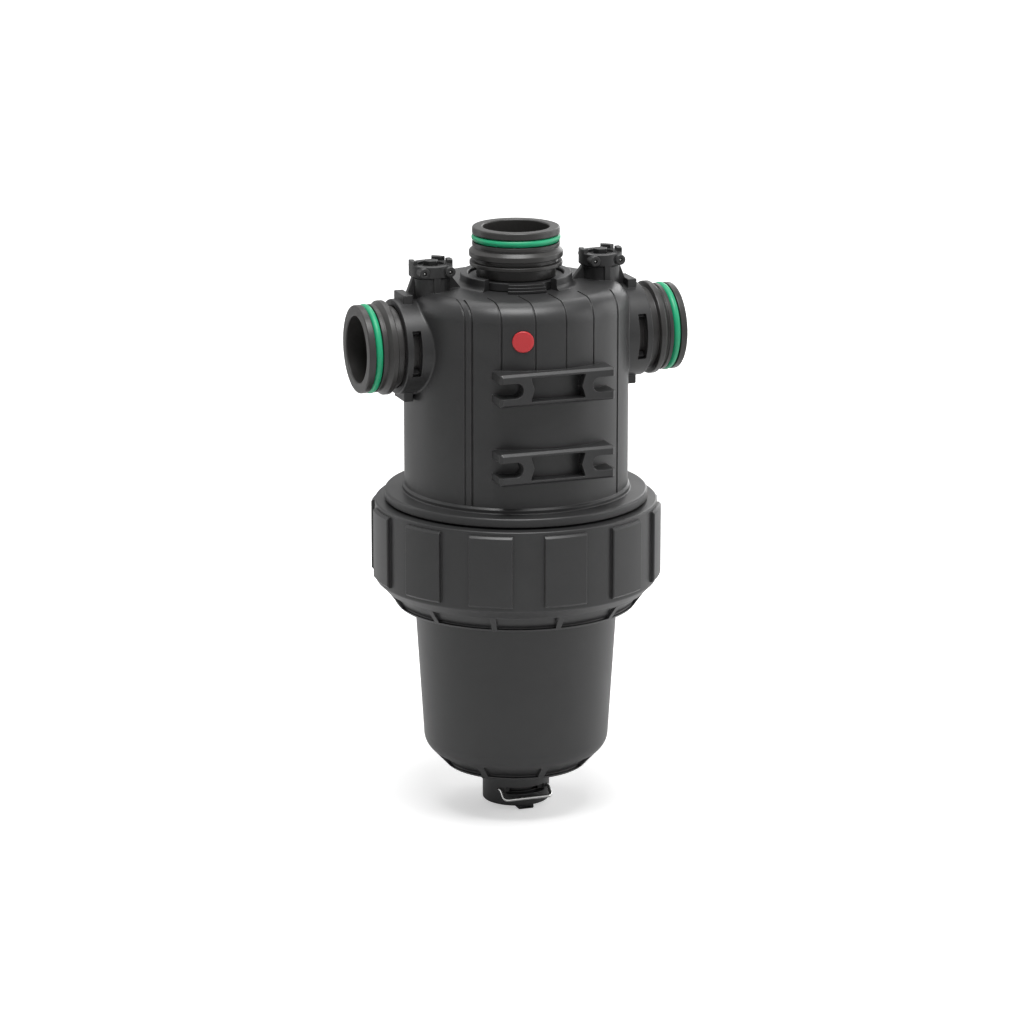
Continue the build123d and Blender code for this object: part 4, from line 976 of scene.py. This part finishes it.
nut_form = lathe(
    [(nut_bore, nut_top), (nut_radius, nut_top), (nut_radius, nut_cone_top), (underside_radius, nut_band),
     (lip_radius, nut_bottom), (nut_neck, nut_bottom), (nut_neck, nut_shelf), (nut_bore, nut_shelf)],
    [0.6, 1.2, 2.2, 1.0, 0.8, 0.8, 0.5, 0.3], around=288)
pad_root = nut_radius - 2.0
pad_corners = [
    (pad_root, pad_low), (pad_radius - pad_bevel, pad_low), (pad_radius, pad_low + pad_bevel),
    (pad_radius, pad_high - pad_bevel), (pad_radius - pad_bevel, pad_high), (pad_root, pad_high)]
pad_outline = rounded(pad_corners, [0, 0.3, 0.3, 0.3, 0.3, 0], steps=3)[0]


def finger_pad(middle, steps=8):
    """A pad as a section carried through a short arc. Near both ends of the arc the section's
    radius is held under the quarter circle that rounds the pad's upright edges."""
    corner = pad_edge * (1 - np.cos(np.linspace(0.0, pi / 2, steps + 1)))
    flat = np.linspace(pad_edge - pad_half, pad_half - pad_edge, steps + 1)[1:-1]
    across = np.concatenate([corner - pad_half, flat, (pad_half - corner)[::-1]])
    to_end = np.minimum(pad_half - np.abs(across), pad_edge)
    limit = pad_radius - pad_edge + np.sqrt(pad_edge**2 - (pad_edge - to_end) ** 2)
    radius = np.minimum(pad_outline[:, 0], limit[:, None])
    angle = (middle + across / nut_radius)[:, None]
    return skin(polar(radius, angle, pad_outline[:, 1]), False, True)


pocket_reach = 96.0
pocket_low = nut_bottom + 1.7
pocket_high = nut_band - 0.8
pocket_corners = [
    (lip_radius - 1.3, pocket_low), (pocket_reach, pocket_low), (pocket_reach, pocket_high),
    (underside_radius - 3.4, pocket_high)]


def pocket_ring(corners, count, rib_angle):
    """Equal pockets round the axis, with a rib of twice the angle between two of them."""
    pitch = 360.0 / count
    return [lathe(corners, [0.8, 0, 0, 0.8], pitch * number + rib_angle, pitch - 2 * rib_angle, around=24)
            for number in range(count)]


pads = [finger_pad(radians(360.0 / pad_count * number)) for number in range(pad_count)]
nut_pockets = pocket_ring(pocket_corners, pad_count, np.degrees(rib_half / underside_radius))
nut_mesh = carved("nut_ring", nut_form, [("UNION", pads), ("DIFFERENCE", nut_pockets)])
finished(nut_mesh, "ring_nut", "ring_nut", "housing_plastic")

# %% [markdown]
# The bowl is a drafted cup. Its foot tapers in to a ring of pockets between eight ribs, and a
# short boss below takes the drain plug.

# %% Bowl
bowl_flange_top = -224.8
bowl_flange_bottom = -231.0
bowl_flange = 79.4
bowl_neck = 70.2
bowl_neck_top = -206.3
seal_low = -211.0
seal_high = -207.0
seal_floor = 66.5
bowl_top_radius = 67.9
base_edge = -349.0
base_radius = 57.6
base_corner = (60.7, -345.7)
base_round = 12.9
base_bottom = -360.8
base_lip = 46.6
bowl_floor = -345.0
boss_radius = 22.2
boss_bottom = -387.0
drain_bore = 17.8
bore_floor = -366.7
passage_bore = 9.0
below = boss_bottom - 1.0
drain_wire_height = -376.5
drain_wire_offset = 16.5
base_rib_half = 2.5
base_ribs = 8

bowl_form = lathe(
    [(0, bowl_floor), (0, base_bottom), (base_lip, base_bottom), base_corner,
     (bowl_top_radius, bowl_flange_bottom),
     (bowl_flange, bowl_flange_bottom), (bowl_flange, bowl_flange_top), (bowl_neck, bowl_flange_top),
     (bowl_neck, seal_low), (seal_floor, seal_low), (seal_floor, seal_high), (bowl_neck, seal_high),
     (bowl_neck, bowl_neck_top), (64.6, bowl_neck_top), (63.9, bowl_flange_bottom), (57.0, bowl_floor)],
    [0, 0, 0.7, base_round, 0.6, 0.6, 0.6, 0.4, 0.3, 0.2, 0.2, 0.3, 0.3, 0.4, 0.5, 2.0],
    around=256, steps=12)
boss = lathe(box(0, -358, boss_radius, boss_bottom), [0, 0, 1.2, 0], around=128)
base_pockets = pocket_ring(
    [(base_lip - 1.3, base_bottom + 1.8), (64.0, base_bottom + 1.8), (64.0, base_edge - 1.7),
     (base_radius - 4.4, base_edge - 1.7)], base_ribs, np.degrees(base_rib_half / base_radius))
passage = lathe(box(0, below, passage_bore, bowl_floor + 1), around=64)
plug_bore = lathe(
    [(0, below), (drain_bore + 1.6, below), (drain_bore, boss_bottom + 0.6), (drain_bore, bore_floor),
     (0, bore_floor)], [0, 0, 0.3, 0, 0], around=128)
leg_hole = lathe(box(0, -30, 1.45, 13), around=24)
leg_holes = [placed(leg_hole, (side * drain_wire_offset, 0, drain_wire_height), *along_y) for side in SIDES]
front_slot = block((-13.6, -30, drain_wire_height - 2.3), (13.6, -14.8, drain_wire_height + 2.3), 0.5)
ear_top = base_bottom - 5.5
boss_ears = block((-boss_radius - 3.2, -4.0, ear_top - 5.0), (boss_radius + 3.2, 4.0, ear_top), 1.2)
bowl_mesh = carved("bowl_cup", bowl_form, [
    ("DIFFERENCE", base_pockets),
    ("UNION", [boss, boss_ears]),
    ("DIFFERENCE", [passage, plug_bore, front_slot] + leg_holes),
])
finished(bowl_mesh, "bowl", "bowl", "housing_plastic")

# %% [markdown]
# The drain plug shows its flat end and a pull tab at the front. The wire clip's legs are level
# up to a knee, and its bar dips below them so that a finger can hook it.

# %% Drain plug and its wire clip
drain_plug_radius = 17.5
drain_groove = 15.15
drain_hollow = 11.15
drain_plug_top = -367.0
drain_plug_end = -387.8
groove_top = drain_wire_height + 1.5
groove_foot = drain_wire_height - 1.5
drain_form = lathe(
    [(0, drain_plug_top), (drain_plug_radius, drain_plug_top), (drain_plug_radius, groove_top),
     (drain_groove, groove_top), (drain_groove, groove_foot), (drain_plug_radius, groove_foot),
     (drain_plug_radius, drain_plug_end), (drain_hollow, drain_plug_end), (drain_hollow, groove_top),
     (0, groove_top)],
    [0, 0.5, 0.2, 0.2, 0.2, 0.2, 0.8, 0.6, 0.4, 0], around=128)
tab = block((-5.3, -20.4, -389.9), (5.3, -12.2, -387.3), 0.7)
tab_slot = block((-3.4, -22.0, -389.1), (3.4, -17.4, -388.1), 0.2)
plug_mesh = carved("drain_stopper", drain_form, [("UNION", [tab]), ("DIFFERENCE", [tab_slot])])
finished(plug_mesh, "drain_plug", "drain_plug", "clip_plastic")

drain_wire_radius = 1.15
fork_knee = -17.0
fork_front = -24.5
fork_dip = 4.5
fork = rounded_path(
    [(drain_wire_offset, 11), (drain_wire_offset, fork_front), (-drain_wire_offset, fork_front),
     (-drain_wire_offset, 11)], 3.0, steps=10)
travel = np.concatenate([[0.0], np.cumsum(np.linalg.norm(np.diff(fork, axis=0), axis=1))])
even = np.linspace(0.0, travel[-1], 180)
fork = np.stack([np.interp(even, travel, fork[:, 0]), np.interp(even, travel, fork[:, 1])], axis=1)
dip = np.clip((fork_knee - fork[:, 1]) / (fork_knee - fork_front), 0.0, 1.0)
fork_height = drain_wire_height - fork_dip * dip * dip * (3 - 2 * dip)
drain_mesh = mesh_of("drain_wire", wire(np.column_stack([fork, fork_height]), drain_wire_radius))
finished(drain_mesh, "drain_clip", "drain_clip", "wire_steel")

# %% [markdown]
# The inner pieces keep the frame's own shapes, which are right as they are. The screen's cage
# and caps are a paler plastic, its mesh is woven steel, and the seals are black rubber.

# %% Finishes of the inner pieces
inner_finishes = {
    "screen_plastic": ("screen_top_cap", "screen_bottom_cap", "screen_cage"),
    "mesh_steel": ("mesh_screen",),
    "black_rubber": ("screen_seal", "bowl_seal", "drain_seal", "gauge_seal_left", "gauge_seal_right",
                     "left_inner_seal", "right_inner_seal", "top_inner_seal"),
}
for finish_name, node_names in inner_finishes.items():
    for node_name in node_names:
        node_mesh = frame["nodes"][node_name].data
        node_mesh.materials.clear()
        node_mesh.materials.append(materials[finish_name])
        print(node_name, "in", finish_name)

# %% [markdown]
# The filter stands on a white floor. It glows for the camera, less so near the filter, so that
# the soft shadow shows there and the edge of the floor is lost in white.

# %% Floor
floor_half = 20.0
floor_mesh = bpy.data.meshes.new("floor")
floor_corners = [(x, y, cad_box[0][2]) for x, y in box(-floor_half, -floor_half, floor_half, floor_half)]
floor_mesh.from_pydata(floor_corners, [], [(0, 1, 2, 3)])
floor = add("floor", floor_mesh)
floor_tree, floor_shader, place = new_material("floor_white")
paths = node_of(floor_tree, "LightPath")
far = node_of(floor_tree, "VectorMath", {0: place}, operation="LENGTH")
fade = node_of(floor_tree, "MapRange", {
    "Value": far["Value"], "From Min": 0.3, "From Max": 2.0, "To Min": 0.45})
glow = node_of(floor_tree, "Math", {
    0: paths["Is Camera Ray"], 1: fade["Result"]}, operation="MULTIPLY")
feed(floor_tree, floor_shader, {
    "Base Color": (0.86, 0.86, 0.86, 1.0), "Roughness": 0.9,
    "Emission Color": (1.0, 1.0, 1.0, 1.0), "Emission Strength": glow["Value"]})
floor_mesh.materials.append(materials["floor_white"])

# %% [markdown]
# The picture sees a white world, while the dark plastic mirrors a dimmer one. The lamps are
# soft: a large one above and a weak one behind it, a weak strip behind at the left, and three
# strips round the right side that draw its bright edges. Colours are shown as they are.

# %% World, lamps and colour management
world = bpy.data.worlds.new("studio")
bpy.context.scene.world = world
world.use_nodes = True
world_tree = world.node_tree
paths = node_of(world_tree, "LightPath")
seen = node_of(world_tree, "Math", {
    0: paths["Is Camera Ray"], 1: paths["Is Transmission Ray"]}, operation="MAXIMUM")
mirrored = node_of(world_tree, "MapRange", {
    "Value": paths["Is Glossy Ray"], "To Min": 0.18, "To Max": 0.63})
level = node_of(world_tree, "MapRange", {
    "Value": seen["Value"], "To Min": mirrored["Result"]})
feed(world_tree, world_tree.nodes["Background"], {
    "Color": (1.0, 1.0, 1.0, 1.0), "Strength": level["Result"]})


def soft_lamp(name, place, size_x, size_y, power):
    """A rectangular lamp at a place, which faces the filter's middle."""
    data = bpy.data.lights.new(name, "AREA")
    data.shape = "RECTANGLE"
    data.size = size_x
    data.size_y = size_y
    data.energy = power
    lamp = add(name, data)
    lamp.location = place
    to_lamp = Vector(place) - Vector((0.0, 0.0, aim_height))
    lamp.rotation_euler = to_lamp.to_track_quat("Z", "Y").to_euler()
    print(name, "watts:", power)


soft_lamp("top_lamp", (-0.1, -0.5, 1.7), 1.2, 0.9, 36.0)
soft_lamp("back_top_lamp", (0.0, 0.9, 1.5), 1.4, 0.8, 7.0)
soft_lamp("left_lamp", (-1.25, 1.05, 0.0), 0.6, 1.8, 4.0)
soft_lamp("right_lamp", (1.6, 0.25, 0.0), 0.5, 1.8, 7.0)
soft_lamp("right_back_lamp", (1.0, 1.3, 0.0), 0.6, 1.8, 8.0)
soft_lamp("right_front_lamp", (1.5, -0.8, 0.2), 0.6, 1.6, 7.0)
bpy.context.scene.view_settings.view_transform = "Standard"
